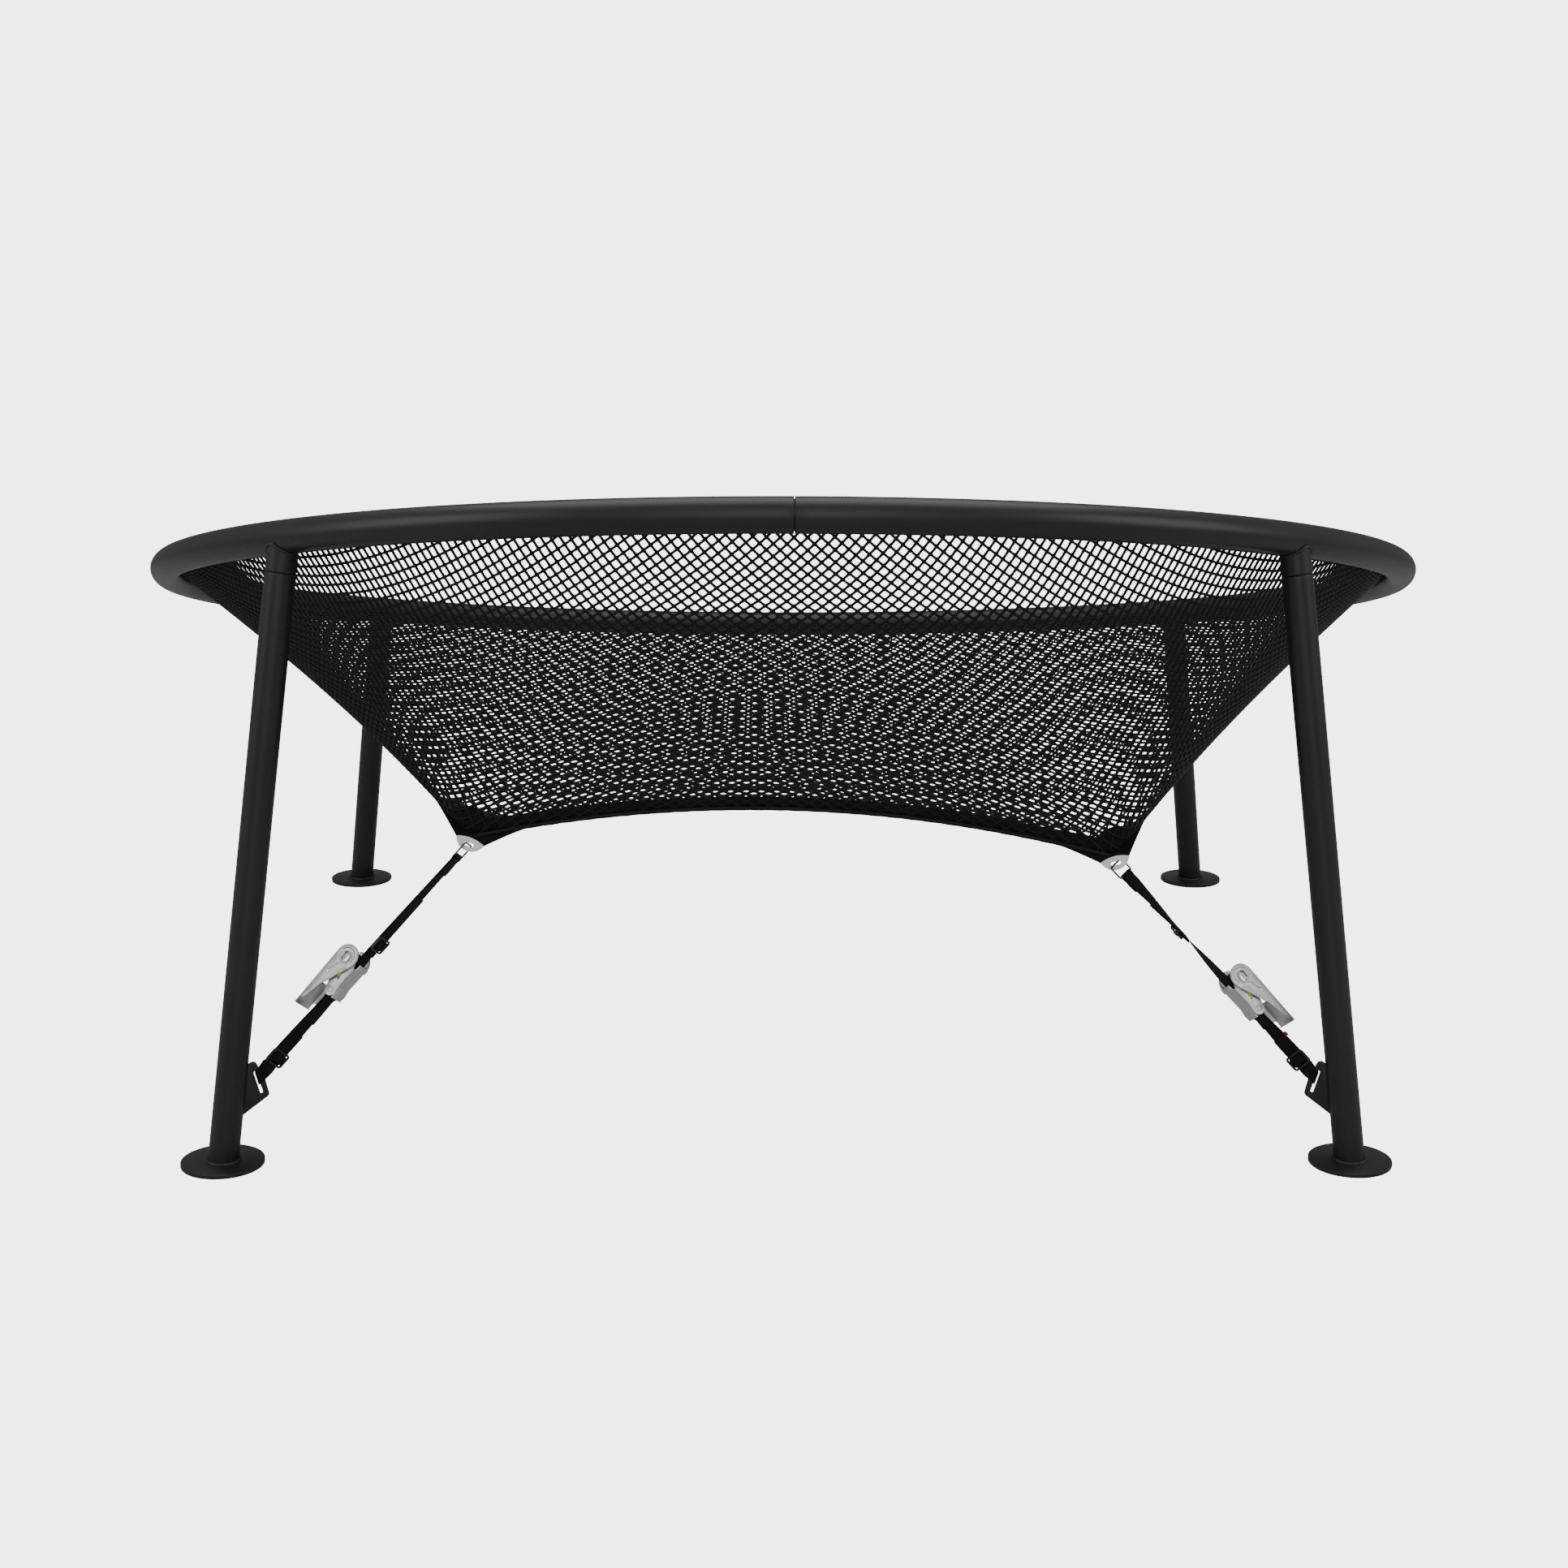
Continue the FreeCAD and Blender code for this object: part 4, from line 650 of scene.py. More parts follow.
# Distances down from the ring's centreline, or from the seam, and the radius there.
STUB_TOP = ((0.004, 0.0205), (0.006, LEG_RADIUS), (0.008, LEG_RADIUS))
SEAM_END = ((0.0025, LEG_RADIUS), (0.0008, LEG_RADIUS), (0.0002, LEG_RADIUS - 0.0008), (0.0002, 0.0192))
spin = np.linspace(0, 2 * math.pi, 48, endpoint=False)
for number, corner in enumerate(LEGS):
    lay_beads(number, corner)
    top, foot, way = leg_line(corner)
    across, beside = square_to(way)
    circle = np.cos(spin)[:, None] * across + np.sin(spin)[:, None] * beside
    stub_rows = list(STUB_TOP) + [(SEAM_AT - along, radius) for along, radius in SEAM_END]
    tube_rows = [(SEAM_AT + along, radius) for along, radius in reversed(SEAM_END)]
    stub_rows, tube_rows = [[top - way * along + radius * circle for along, radius in rows]
                            for rows in (stub_rows, tube_rows)]
    wall = top + LEG_RADIUS * circle
    foot_row = wall - way * ((wall[:, 2:] - FOOT_SINK) / way[2])
    tube_rows += [foot_row + way * 0.003, foot_row]
    hand_over(skinned("leg_stub_" + corner, stub_rows, powder_coat), "base", "black_coat")
    hand_over(skinned("leg_tube_" + corner, tube_rows, powder_coat), "base", "black_coat", "leg_" + corner)

# %% [markdown]
# ## The net's surface
# The net hangs in the ring like a tent turned upside down: its threads run from the rim to a
# keel, the curved lower edge between the two corners that the straps pull. An elastic net
# was stretched into that shape, so each point of the slack net goes to one point in space.
# Laid flat, the slack net is two half ovals with the keel as a slit between them. The far
# one is shallow, so its mesh is drawn out long, and towards the keel the mesh closes up.

# %% From the flat net to the stretched one
NET_RADIUS = 0.98485
BAND_WIDTH = 0.023
NET_THICKNESS = 0.004
LEFT_CORNER = np.array([-0.4648, -0.640, 0.4522])
RIGHT_CORNER = np.array([0.4790, -0.640, 0.4223])
KEEL_RISE = 0.054
KEEL_PUSH_BACK = 0.015
SAG_AT_SIDES, SAG_NEAR, SAG_FAR = 0.026, 0.028, -0.004
SLACK_NEAR, SLACK_FAR = 1.05, 0.33
SLIT_HALF_LENGTH = 0.355
SLIT_AT = -0.490
GATHER_NEAR, GATHER_FAR = 0.36, 0.15
KEEL_CROWDING = 2.6
CORNERS = {"left": (LEFT_CORNER, math.pi), "right": (RIGHT_CORNER, 0.0)}


def keel_share(angle):
    """Which point of the keel a thread from a rim angle runs to, from minus one to one."""
    return np.tanh(KEEL_CROWDING * np.cos(angle)) / math.tanh(KEEL_CROWDING)


def keel_point(share):
    """Points of the keel between its corners."""
    share = np.asarray(share, float)[..., None]
    straight = LEFT_CORNER * (1 - share) / 2 + RIGHT_CORNER * (1 + share) / 2
    return straight + np.array([0.0, KEEL_PUSH_BACK, KEEL_RISE]) * (1 - share * share)


def net_point(angle, share, drop=NET_THICKNESS / 2):
    """Points of the stretched net, by rim angle and share of the way from the rim to the keel."""
    angle, share = np.broadcast_arrays(np.asarray(angle, float), np.asarray(share, float))
    rim = ring_point(angle, np.full(angle.shape, NET_RADIUS))
    keel = keel_point(keel_share(angle))
    across = np.where(np.sin(angle) < 0, SAG_NEAR, SAG_FAR)
    sag = SAG_AT_SIDES * np.cos(angle) ** 2 + across * np.sin(angle) ** 2
    length = np.linalg.norm(keel - rim, axis=-1)
    curve = 4 * share * (1 - share) * (0.6 + 0.8 * share)
    lift = (sag * curve * length - drop)[..., None]
    return rim * (1 - share[..., None]) + keel * share[..., None] + ring_normal * lift


def thread_length(angle):
    """The straight distance from the rim to the keel along one thread."""
    return np.linalg.norm(keel_point(keel_share(angle)) - ring_point(angle, NET_RADIUS))


print("keel's middle is", round(float(keel_point(0.0)[2]), 3), "m above the floor")

# %% [markdown]
# The mesh is drawn on the slack net first, where it is even, and each of its points is then
# carried over. For that the script has to know on which thread of the flat net a point lies,
# and how far along. It looks at all threads round the rim, takes the two that the point lies
# between, and blends them. Towards the keel the stretched mesh closes up, by a set share.

# %% Which thread a slack point lies on
RIM_STEPS = 1440
BATCH = 4000


def slack_rim(angle):
    """The slack net's edge, two half ovals with different depths."""
    depth = np.where(np.sin(angle) < 0, SLACK_NEAR, SLACK_FAR)
    return np.stack([NET_RADIUS * np.cos(angle), depth * np.sin(angle)], -1)


def stretched(angle, share):
    """Where a share of the slack thread lies on the stretched one."""
    gather = np.where(np.sin(angle) < 0, GATHER_NEAR, GATHER_FAR) * np.sin(angle) ** 2 + 0.0001
    return (gather - 1 + np.sqrt((1 - gather) ** 2 + 4 * gather * share)) / (2 * gather)


def threads(flat):
    """The rim angle and stretched share of each slack point, found by walking round the rim."""
    angles = np.linspace(0, 2 * math.pi, RIM_STEPS + 1)[:-1]
    rim = slack_rim(angles)
    keel = np.stack([SLIT_HALF_LENGTH * keel_share(angles), np.full(angles.shape, SLIT_AT)], 1)
    way = keel - rim
    found_angle = np.zeros(len(flat))
    found_share = np.zeros(len(flat))
    for start in range(0, len(flat), BATCH):
        part = flat[start:start + BATCH]
        offset = part[:, None, :] - rim[None]
        side = offset[..., 0] * way[None, :, 1] - offset[..., 1] * way[None, :, 0]
        share = (offset * way[None]).sum(-1) / (way ** 2).sum(-1)[None]
        following = np.roll(side, -1, 1)
        crossing = (side * following <= 0) & (share > -0.02) & (share < 1.002)
        crossing &= np.abs(side) + np.abs(following) < 0.2
        pick = np.argmax(crossing, 1)
        rows = np.arange(len(part))
        first, second = side[rows, pick], following[rows, pick]
        blend = first / np.where(np.abs(first - second) < 1e-12, 1, first - second)
        share_next = np.roll(share, -1, 1)[rows, pick]
        found_angle[start:start + BATCH] = angles[pick] + blend * (angles[1] - angles[0])
        found_share[start:start + BATCH] = share[rows, pick] * (1 - blend) + share_next * blend
    return found_angle, stretched(found_angle, np.clip(found_share, 0.0, 1.0))


test_angle, test_share = threads(np.array([[0.0, 0.2], [0.3, -0.6], [-0.7, 0.1]]))
print("thread angles", np.degrees(test_angle).round(1), "shares", test_share.round(3))

# %% [markdown]
# ## The net's strands
# The mesh is knotless: slack, its cords run at 45 degrees both ways and are bonded where they
# cross, every 12.3 mm, so each opening has rounded corners. Each cord is one line with a
# thicker section at its crossings, and its ends lie 10 mm in from the net's edge, where the
# rim band covers them. The cord tree turns the lines into tubes, in six pieces to keep each
# one light.

# %% Lines of the mesh at 45 degrees
MESH_PITCH = 0.0123
CORD_THICKNESS = 0.0040
CROSSING_SWELL = 1.22
MIDDLE_SWELL = 0.98
CORD_ENDS_AT = 0.0101
MESH_SHARE = (NET_RADIUS - CORD_ENDS_AT) / NET_RADIUS


def inside_band(spot):
    """Whether a slack point lies inside the band along the rim."""
    depth = SLACK_NEAR if spot[1] < 0 else SLACK_FAR
    return math.hypot(spot[0] / NET_RADIUS, spot[1] / depth) < MESH_SHARE


def edge_between(inner, outer):
    """The point where a line leaves the mesh, between a point inside and one outside."""
    for step in range(16):
        middle = (inner + outer) / 2
        if inside_band(middle):
            inner = middle
        else:
            outer = middle
    return inner


def mesh_lines(rising):
    """Chains of slack points along one direction of the mesh, with the swell of each."""
    chains = []
    rows = int(math.hypot(NET_RADIUS, SLACK_NEAR) / MESH_PITCH)
    steps = np.arange(-2 * rows, 2 * rows + 1)
    along = steps * MESH_PITCH / 2
    for row in range(-rows, rows + 1):
        offset = row * MESH_PITCH
        if rising:
            line = np.stack([along - offset, along + offset], 1) / math.sqrt(2)
        else:
            line = np.stack([along + offset, offset - along], 1) / math.sqrt(2)
        kept = [i for i in range(len(line)) if inside_band(line[i])]
        if len(kept) < 2:
            continue
        first, last = kept[0], kept[-1]
        swells = np.where(steps[first:last + 1] % 2 == 0, CROSSING_SWELL, MIDDLE_SWELL)
        swells = np.concatenate([[MIDDLE_SWELL], swells, [MIDDLE_SWELL]])
        ends = [edge_between(line[first], line[first - 1]), edge_between(line[last], line[last + 1])]
        chains.append((np.concatenate([ends[:1], line[first:last + 1], ends[1:]]), swells))
    return chains


print("mesh", round(MESH_PITCH * 1000, 1), "mm apart when slack")

# %% [markdown]
# Now the lines are laid on the stretched net. Each direction is carried over in one go, which
# is quicker than line by line, and is then split into thirds.

# %% Cords of the stretched net
for name, rising in (("rising", True), ("falling", False)):
    chains = mesh_lines(rising)
    spots = net_point(*threads(np.concatenate([points for points, swells in chains])))
    at, thirds = 0, [[], [], []]
    for number, (points, swells) in enumerate(chains):
        part = min(2, int(number / (len(chains) / 3)))
        thirds[part].append(np.column_stack([spots[at:at + len(points)], swells]))
        at += len(points)
    for part, members in enumerate(thirds):
        strands = cords("net_strands_%s_%d" % (name, part + 1), members, CORD_THICKNESS, 5, net_cord)
        hand_over(strands, "base", "net_rubber_cord", "net")

# %% [markdown]
# ## Rim band and keel
# A woven tape, 23 mm wide, binds the net's edge inside the ring. It is a thin closed strip that
# runs round the net, and its UV map is in metres, so that the weave keeps its size. Its section
# is a list of distances from the edge and heights off the net.

# %% Woven band along the rim
BAND_STEPS = 240
BAND_SECTION = ((0.0, 0.0018), (0.002, 0.0008), (BAND_WIDTH / 2, 0.0004), (BAND_WIDTH - 0.002, 0.0006),
                (BAND_WIDTH, 0.0016), (BAND_WIDTH - 0.002, 0.0028), (BAND_WIDTH / 2, 0.0032),
                (0.002, 0.0030))
BAND_ACROSS = [0.0, 0.002, 0.0115, 0.021, 0.023, 0.025, 0.0345, 0.044, 0.046]
BAND_STEP = 2 * math.pi * NET_RADIUS / BAND_STEPS
band_sections = []
for i in range(BAND_STEPS):
    angle = 2 * math.pi * i / BAND_STEPS
    length = thread_length(angle)
    band_sections.append([net_point(angle, width / length, height) for width, height in BAND_SECTION])
band = skinned("net_rim_band", band_sections, rim_tape, closed=True,
               uv=lambda i, k: (BAND_ACROSS[k], BAND_STEP * i))
hand_over(band, "base", "net_rubber_cord", "net_band")

# %% [markdown]
# A rope is sewn into the keel, so that the pull of the straps spreads along it. It is a cord on
# the keel's curve, and a slight swell shows where the stitching pulls it in.

# %% Rope in the keel
ROPE_THICKNESS = 0.0078
ROPE_REACH = 0.985
keel_line = []
for share in np.linspace(-ROPE_REACH, ROPE_REACH, 160):
    point = keel_point(share) - ring_normal * (NET_THICKNESS * 0.75)
    keel_line.append((*point, 1.0 + 0.05 * math.sin(share * 400)))
keel_rope = cords("net_keel_rope", [keel_line], ROPE_THICKNESS, 12, net_cord)
hand_over(keel_rope, "base", "net_rubber_cord", "net_keel_tape")

# %% [markdown]
# The net is folded round that rope and sewn down, which doubles it into a hem about 19 mm wide
# on each side. The hem follows the same threads as the rest, measured from the keel instead.

# %% Hem on both sides of the keel
HEM_STEPS = 200
HEM_WIDTH = 0.019
HEM_SECTION = ((0.0, 0.0006), (HEM_WIDTH / 2, 0.0004), (HEM_WIDTH, 0.0010), (HEM_WIDTH, 0.0030),
               (HEM_WIDTH / 2, 0.0036), (0.0, 0.0034))
HEM_ACROSS = [0.0, 0.0095, 0.019, 0.021, 0.0305, 0.040, 0.042]
HEM_STEP = 0.0055
hem_sections = []
for i in range(HEM_STEPS):
    angle = 2 * math.pi * (i + 0.5) / HEM_STEPS
    length = thread_length(angle)
    hem_sections.append([net_point(angle, 1 - width / length, height) for width, height in HEM_SECTION])
hem = skinned("net_keel_hem", hem_sections, rim_tape, closed=True,
              uv=lambda i, k: (HEM_ACROSS[k], HEM_STEP * i))
hand_over(hem, "base", "net_rubber_cord")

# %% [markdown]
# ## Reinforced corners
# At each corner the net is doubled with a patch that the corner plate clamps. It lies against
# the stretched surface on both sides of the keel and ends about 50 mm from the corner. Each of
# its rows follows one thread, from the patch's edge to the keel.

# %% Doubled patches at the two corners
PATCH_REACH = 0.050
PATCH_SPREAD = math.radians(64)
PATCH_HALF = 0.0012
TRIALS = 400
for side, (corner_spot, middle) in CORNERS.items():
    rows = []
    for angle in np.linspace(middle - PATCH_SPREAD, middle + PATCH_SPREAD, 33):
        shares = np.linspace(0.70, 1.0, TRIALS)
        away = np.linalg.norm(net_point(np.full(TRIALS, angle), shares) - corner_spot, axis=1)
        inside = np.where(away < PATCH_REACH * (0.92 + 0.08 * math.cos(3 * (angle - middle))))[0]
        if len(inside) < 3:
            continue
        line = np.linspace(shares[inside[0]], 1.0, 9)
        upper_row, lower_row = [net_point(np.full(9, angle), line, NET_THICKNESS / 2 + half)
                                for half in (-PATCH_HALF, PATCH_HALF)]
        rows.append(np.concatenate([upper_row, lower_row[::-1]]))
    patch = skinned("corner_patch_" + side, rows, rim_tape, uv=lambda i, k: (0.004 * k, 0.005 * i))
    hand_over(patch, "base", "net_rubber_cord")

# %% [markdown]
# ## The straps
# Each strap is 25 mm webbing on one straight line from a slotted plate on the leg to a corner
# of the net. The lower piece loops round the plate's rib and the ratchet's pin, the upper one
# runs from the spindle to the wire link and folds back. Webbing is modelled directly as a
# ribbon: a route of distances and heights along the strap, and a width direction that
# turns slowly where the strap twists. Distances here are in millimetres, as on a drawing.
# The standing layer lies on the ratchet handle's side, and tails and sliders on the other.

# %% Strap lines and stations
MM = 0.001
WEB_WIDTH = 25.0
WEB_THICK = 1.8
WEB_GAP = 0.3
SLIDER_FLAT, SLIDER_END = 12.6, 12.0
BAR_CLEAR = 11.0
RIB_CLEAR = 14.5
LATE_TWIST = 1.8
HUB_ALONG, HUB_UP = 50.0, 14.0
PLATE_UP, SLOT_OUT, SLOT_UP = 74.0, 38.9, 48.75
SLOT_SHIFT = 6.0
SLOT_LEAN = math.radians(23.0)
STATIONS = {
    "left": {"hole": (-464.8, -648.0, 439.7), "lower": 41.2, "lower_tail": 86.3, "eye": 165.9, "upper": 258.2,
             "upper_tail": 347.2, "fold": 393.7, "bar": 428.6, "pin_roll": 52.0, "slider_roll": 68.0,
             "bar_roll": 42.0},
    "right": {"hole": (479.4, -648.0, 412.2), "lower": 36.2, "lower_tail": 78.0, "eye": 130.7, "upper": 289.4,
              "upper_tail": 345.0, "fold": 372.0, "bar": 401.0, "pin_roll": 50.0, "slider_roll": 74.0,
              "bar_roll": -25.0}}


def unit(vector):
    """A vector at length one."""
    return vector / np.linalg.norm(vector)


def eased(value, start, end):
    """How far a value has come from a start to an end, from nought to one."""
    return min(1.0, max(0.0, (value - start) / (end - start)))


print("stations and rolls on each strap", len(STATIONS["left"]) - 1)

# %% [markdown]
# All pieces of a strap need the same few things: where its line starts, which way it runs, how
# its width lies there, and how to turn a distance and a height into a point. A class keeps
# them together, one object for each strap. The twist between two fittings starts slowly,
# because tight webbing holds flat near a slider and turns nearer to the next pin.

# %% One strap's line and frame
class Strap:
    """One strap's straight line, its stations and how its width turns."""

    def __init__(self, side):
        foot, axis = leg_line("near_" + side)[1:]
        towards = CORNERS[side][0] - foot
        outwards = unit(towards - axis * (towards @ axis))
        self.at = STATIONS[side]
        self.slot = axis * math.cos(SLOT_LEAN) - outwards * math.sin(SLOT_LEAN)
        plate = foot / MM + axis * PLATE_UP
        self.start = plate + outwards * SLOT_OUT + axis * SLOT_UP + self.slot * SLOT_SHIFT
        self.hole = np.array(self.at["hole"])
        self.length = float(np.linalg.norm(self.hole - self.start))
        self.along = unit(self.hole - self.start)
        level = np.cross(self.along, [0, 0, 1.0])
        self.level = unit(level if level[1] < 0 else -level)
        self.rise = unit(np.array([0, 0, 1.0]) - self.along * self.along[2])
        pin_roll = math.radians(self.at["pin_roll"])
        self.handle_side = self.rise * math.cos(pin_roll) - self.level * math.sin(pin_roll)

    def turned(self, roll):
        """The width direction at a roll in degrees from level."""
        return self.level * math.cos(math.radians(roll)) + self.rise * math.sin(math.radians(roll))

    def width_direction(self, distance):
        """Which way the webbing's width points at a distance: it twists between its fittings."""
        at = self.at
        if distance <= at["lower"]:
            part = eased(distance, RIB_CLEAR, at["lower"] - SLIDER_FLAT)
            return unit(self.slot * (1 - part) + self.turned(at["slider_roll"]) * part)
        hub_at = at["eye"] + HUB_ALONG
        if distance <= hub_at:
            part = eased(distance, at["lower"] + SLIDER_FLAT, at["eye"] - BAR_CLEAR) ** LATE_TWIST
            return self.turned(at["slider_roll"] * (1 - part) + at["pin_roll"] * part)
        at_slider = (at["upper"] - hub_at) / (at["bar"] - hub_at)
        if distance <= at["upper"]:
            part = at_slider * eased(distance, hub_at, at["upper"] - SLIDER_FLAT) ** LATE_TWIST
        else:
            rest = eased(distance, at["upper"] + SLIDER_FLAT, at["bar"] - BAR_CLEAR)
            part = at_slider + (1 - at_slider) * rest
        return self.turned(at["pin_roll"] * (1 - part) + at["bar_roll"] * part)

    def point(self, distance, height, sideways=0.0):
        """A point by its distance along the strap, its height off it and its place across it."""
        across = self.width_direction(distance)
        lift = np.cross(self.along, across)
        if lift @ self.handle_side < 0:
            lift = -lift
        spot = self.start + self.along * distance + unit(lift) * height + across * sideways
        return spot * MM

    def buckle(self, along, across, up):
        """A point from the ratchet's eye pin: along, across, and up to the handle."""
        y_axis = np.cross(self.handle_side, self.along)
        origin = self.start + self.along * self.at["eye"]
        return (origin + self.along * along + y_axis * across + self.handle_side * up) * MM


straps = {side: Strap(side) for side in ("left", "right")}
for side, line in straps.items():
    print(side, "strap", round(line.length, 1), "mm long")

# %% [markdown]
# A ribbon's section has a thin body and rounded selvedges, the firm woven edges of webbing.
# The route's corners are softened by adding points between them, and the UV map gives the
# weave its true size: across the strap in one direction, along it in the other.

# %% A ribbon of webbing along a route
LAYER = (WEB_THICK + WEB_GAP) / 2
SECTION = ((-0.5, 0.0), (-0.47, 0.36), (-0.4, 0.5), (0.0, 0.44), (0.4, 0.5), (0.47, 0.36),
           (0.5, 0.0), (0.47, -0.36), (0.4, -0.5), (0.0, -0.44), (-0.4, -0.5), (-0.47, -0.36))
ACROSS = [wide * WEB_WIDTH * MM + (0.0 if out >= 0 else 0.05) for wide, out in SECTION]
ACROSS.append(ACROSS[0])
CORNER_CUT = 1.2
POINT_STEP = 2.5


def softened(route):
    """More points along a route, with its corners cut a little."""
    route = [np.array(p, float) for p in route]
    cut = [route[0]]
    for before, here, after in zip(route, route[1:], route[2:]):
        back, ahead = [np.linalg.norm((spot - here)[:2]) for spot in (before, after)]
        bite = min(CORNER_CUT, back * 0.3, ahead * 0.3)
        entry = here + (before - here) / max(back, 1e-9) * bite
        leave = here + (after - here) / max(ahead, 1e-9) * bite
        cut += [entry, here * 0.5 + (entry + leave) * 0.25, leave]
    cut.append(route[-1])
    made = [cut[0]]
    for before, after in zip(cut, cut[1:]):
        pieces = max(1, math.ceil(np.linalg.norm((after - before)[:2]) / POINT_STEP))
        made += [before + (after - before) * (k + 1) / pieces for k in range(pieces)]
    return made


def ribbon(name, line, route):
    """Webbing along a route of (distance, height) or (distance, height, width) in millimetres."""
    route = softened([(*spot, WEB_WIDTH)[:3] for spot in route])
    sections, run = [], [0.0]
    for i, (distance, height, width) in enumerate(route):
        before, after = route[max(0, i - 1)], route[min(len(route) - 1, i + 1)]
        step = (after - before)[:2]
        normal = np.array([-step[1], step[0]]) / max(np.linalg.norm(step), 1e-9)
        thick = WEB_THICK * (1 + 0.25 * (1 - width / WEB_WIDTH))
        sections.append([line.point(distance + normal[0] * out * thick, height + normal[1] * out * thick,
                                    wide * width) for wide, out in SECTION])
        run.append(run[-1] + float(np.linalg.norm((after - route[i])[:2])) * MM)
    return skinned(name, sections, webbing, uv=lambda i, k: (ACROSS[k], run[i]))


print("ribbon section has", len(SECTION), "points")

# %% [markdown]
# Three turns come back in every strap: the wrap round a pin, the same run back on the other
# side, and the way over a slider's middle bar. The heights add up the layers between: the
# middle of the webbing lies half its thickness and a small gap off whatever carries it.

# %% Routes round pins and over sliders
LAID = WEB_GAP + WEB_THICK / 2
SLIDER_BAR = 3.0
SLIDER_HIGH = LAYER + LAID + SLIDER_BAR + LAID


def round_pin(centre, radius, start, sweep, steps, width):
    """Route points round a pin, from a start angle through a sweep."""
    angles = [math.radians(start + sweep * i / steps) for i in range(steps + 1)]
    return [(centre + radius * math.cos(angle), radius * math.sin(angle), width) for angle in angles]


def mirrored(route):
    """The same route points on the other side of the strap's line, in return order."""
    return [(spot[0], -spot[1], *spot[2:]) for spot in reversed(route)]


def over_slider(at):
    """Route points over a slider's middle bar and under its end bars."""
    return [(at - 8.8, -LAYER), (at - 3.5, -SLIDER_HIGH), (at + 3.5, -SLIDER_HIGH), (at + 8.8, -LAYER)]


print("webbing rises", round(SLIDER_HIGH, 2), "mm over a slider")

# %% [markdown]
# The lower webbing starts under its own tail, goes round the ratchet's eye pin and back along
# the top to the leg's plate. There it is bunched to pass through the slot, goes round the rib,
# and comes back underneath, over the slider, to a cut end that is a trace wider than the rest.

# %% Lower webbing, from the ratchet's pin round the leg's plate
PIN_RADIUS, RIB_HALF = 4.0, 2.5
PIN_WRAP, RIB_WRAP = PIN_RADIUS + LAID, RIB_HALF + LAID
BUNCH = 20.0
CUT_END = 25.4
HIDDEN_END = 22.0
for side, line in straps.items():
    eye, slider, tail = line.at["eye"], line.at["lower"], line.at["lower_tail"]
    near = BUNCH + (WEB_WIDTH - BUNCH) * eased(RIB_CLEAR, 4.0, slider - SLIDER_END)
    to_pin = [(eye - 14.0, -LAYER), (eye - 8.0, -PIN_WRAP * 0.72)]
    to_rib = [(RIB_CLEAR, RIB_WRAP, near), (3.2, RIB_WRAP, BUNCH), (0.9, RIB_WRAP * 0.82, BUNCH)]
    route = [(tail + HIDDEN_END, -LAYER)] + to_pin + round_pin(eye, PIN_WRAP, -130.0, 260.0, 16, WEB_WIDTH)
    route += mirrored(to_pin) + [(slider + SLIDER_FLAT, LAYER), (slider - SLIDER_END, LAYER)]
    route += to_rib + [(0.0, 0.0, BUNCH)] + mirrored(to_rib)
    route += [(slider - SLIDER_END, -LAYER)] + over_slider(slider) + [(slider + SLIDER_END, -LAYER)]
    route += [(tail - 2.0, -LAYER, CUT_END), (tail, -LAYER, CUT_END)]
    hand_over(ribbon("lower_strap_" + side, line, route), "base", "webbing", "lower_webbing_" + side)

# %% [markdown]
# The upper webbing leaves the spindle's roll at a tangent, runs to the wire link, where it
# bunches a little, and folds back underneath. Its tail is a ribbon of its own that starts
# hidden behind the slider, which is simpler than one long route.

# %% Upper webbing, from the spindle to the wire link, and its tail
ROLL_RADIUS = 13.5
ROLL_TANGENT = HUB_UP - ROLL_RADIUS - LAID
LINK_WIRE = 3.0
LINK_WRAP = LINK_WIRE / 2 + LAID
LINK_TAPER, LINK_BUNCH = 23.0, 21.0
for side, line in straps.items():
    at, slider, bar = line.at, line.at["upper"], line.at["bar"]
    to_link = [(bar - 16.0, LAYER), (bar - 10.0, LAYER, LINK_TAPER), (bar - 4.0, LINK_WRAP, LINK_BUNCH)]
    route = [(at["eye"] + HUB_ALONG, ROLL_TANGENT), (slider - SLIDER_FLAT, LAYER)]
    route += [(slider + SLIDER_FLAT, LAYER)] + to_link
    route += round_pin(bar, LINK_WRAP, 90.0, -180.0, 10, LINK_BUNCH) + mirrored(to_link)
    route.append((at["fold"], -LAYER))
    tail_route = [(slider - HIDDEN_END, -LAYER), (slider - SLIDER_END, -LAYER)] + over_slider(slider)
    tail_route += [(slider + SLIDER_END, -LAYER), (at["upper_tail"], -LAYER)]
    hand_over(ribbon("upper_strap_" + side, line, route), "base", "webbing", "upper_webbing_" + side)
    hand_over(ribbon("upper_strap_tail_" + side, line, tail_route), "base", "webbing")

# %% [markdown]
# One and a half turns of webbing are wound on each spindle. The roll is a spiral of the same
# section, made in the ratchet's own frame, and it rides on the spindle, so it turns with it.

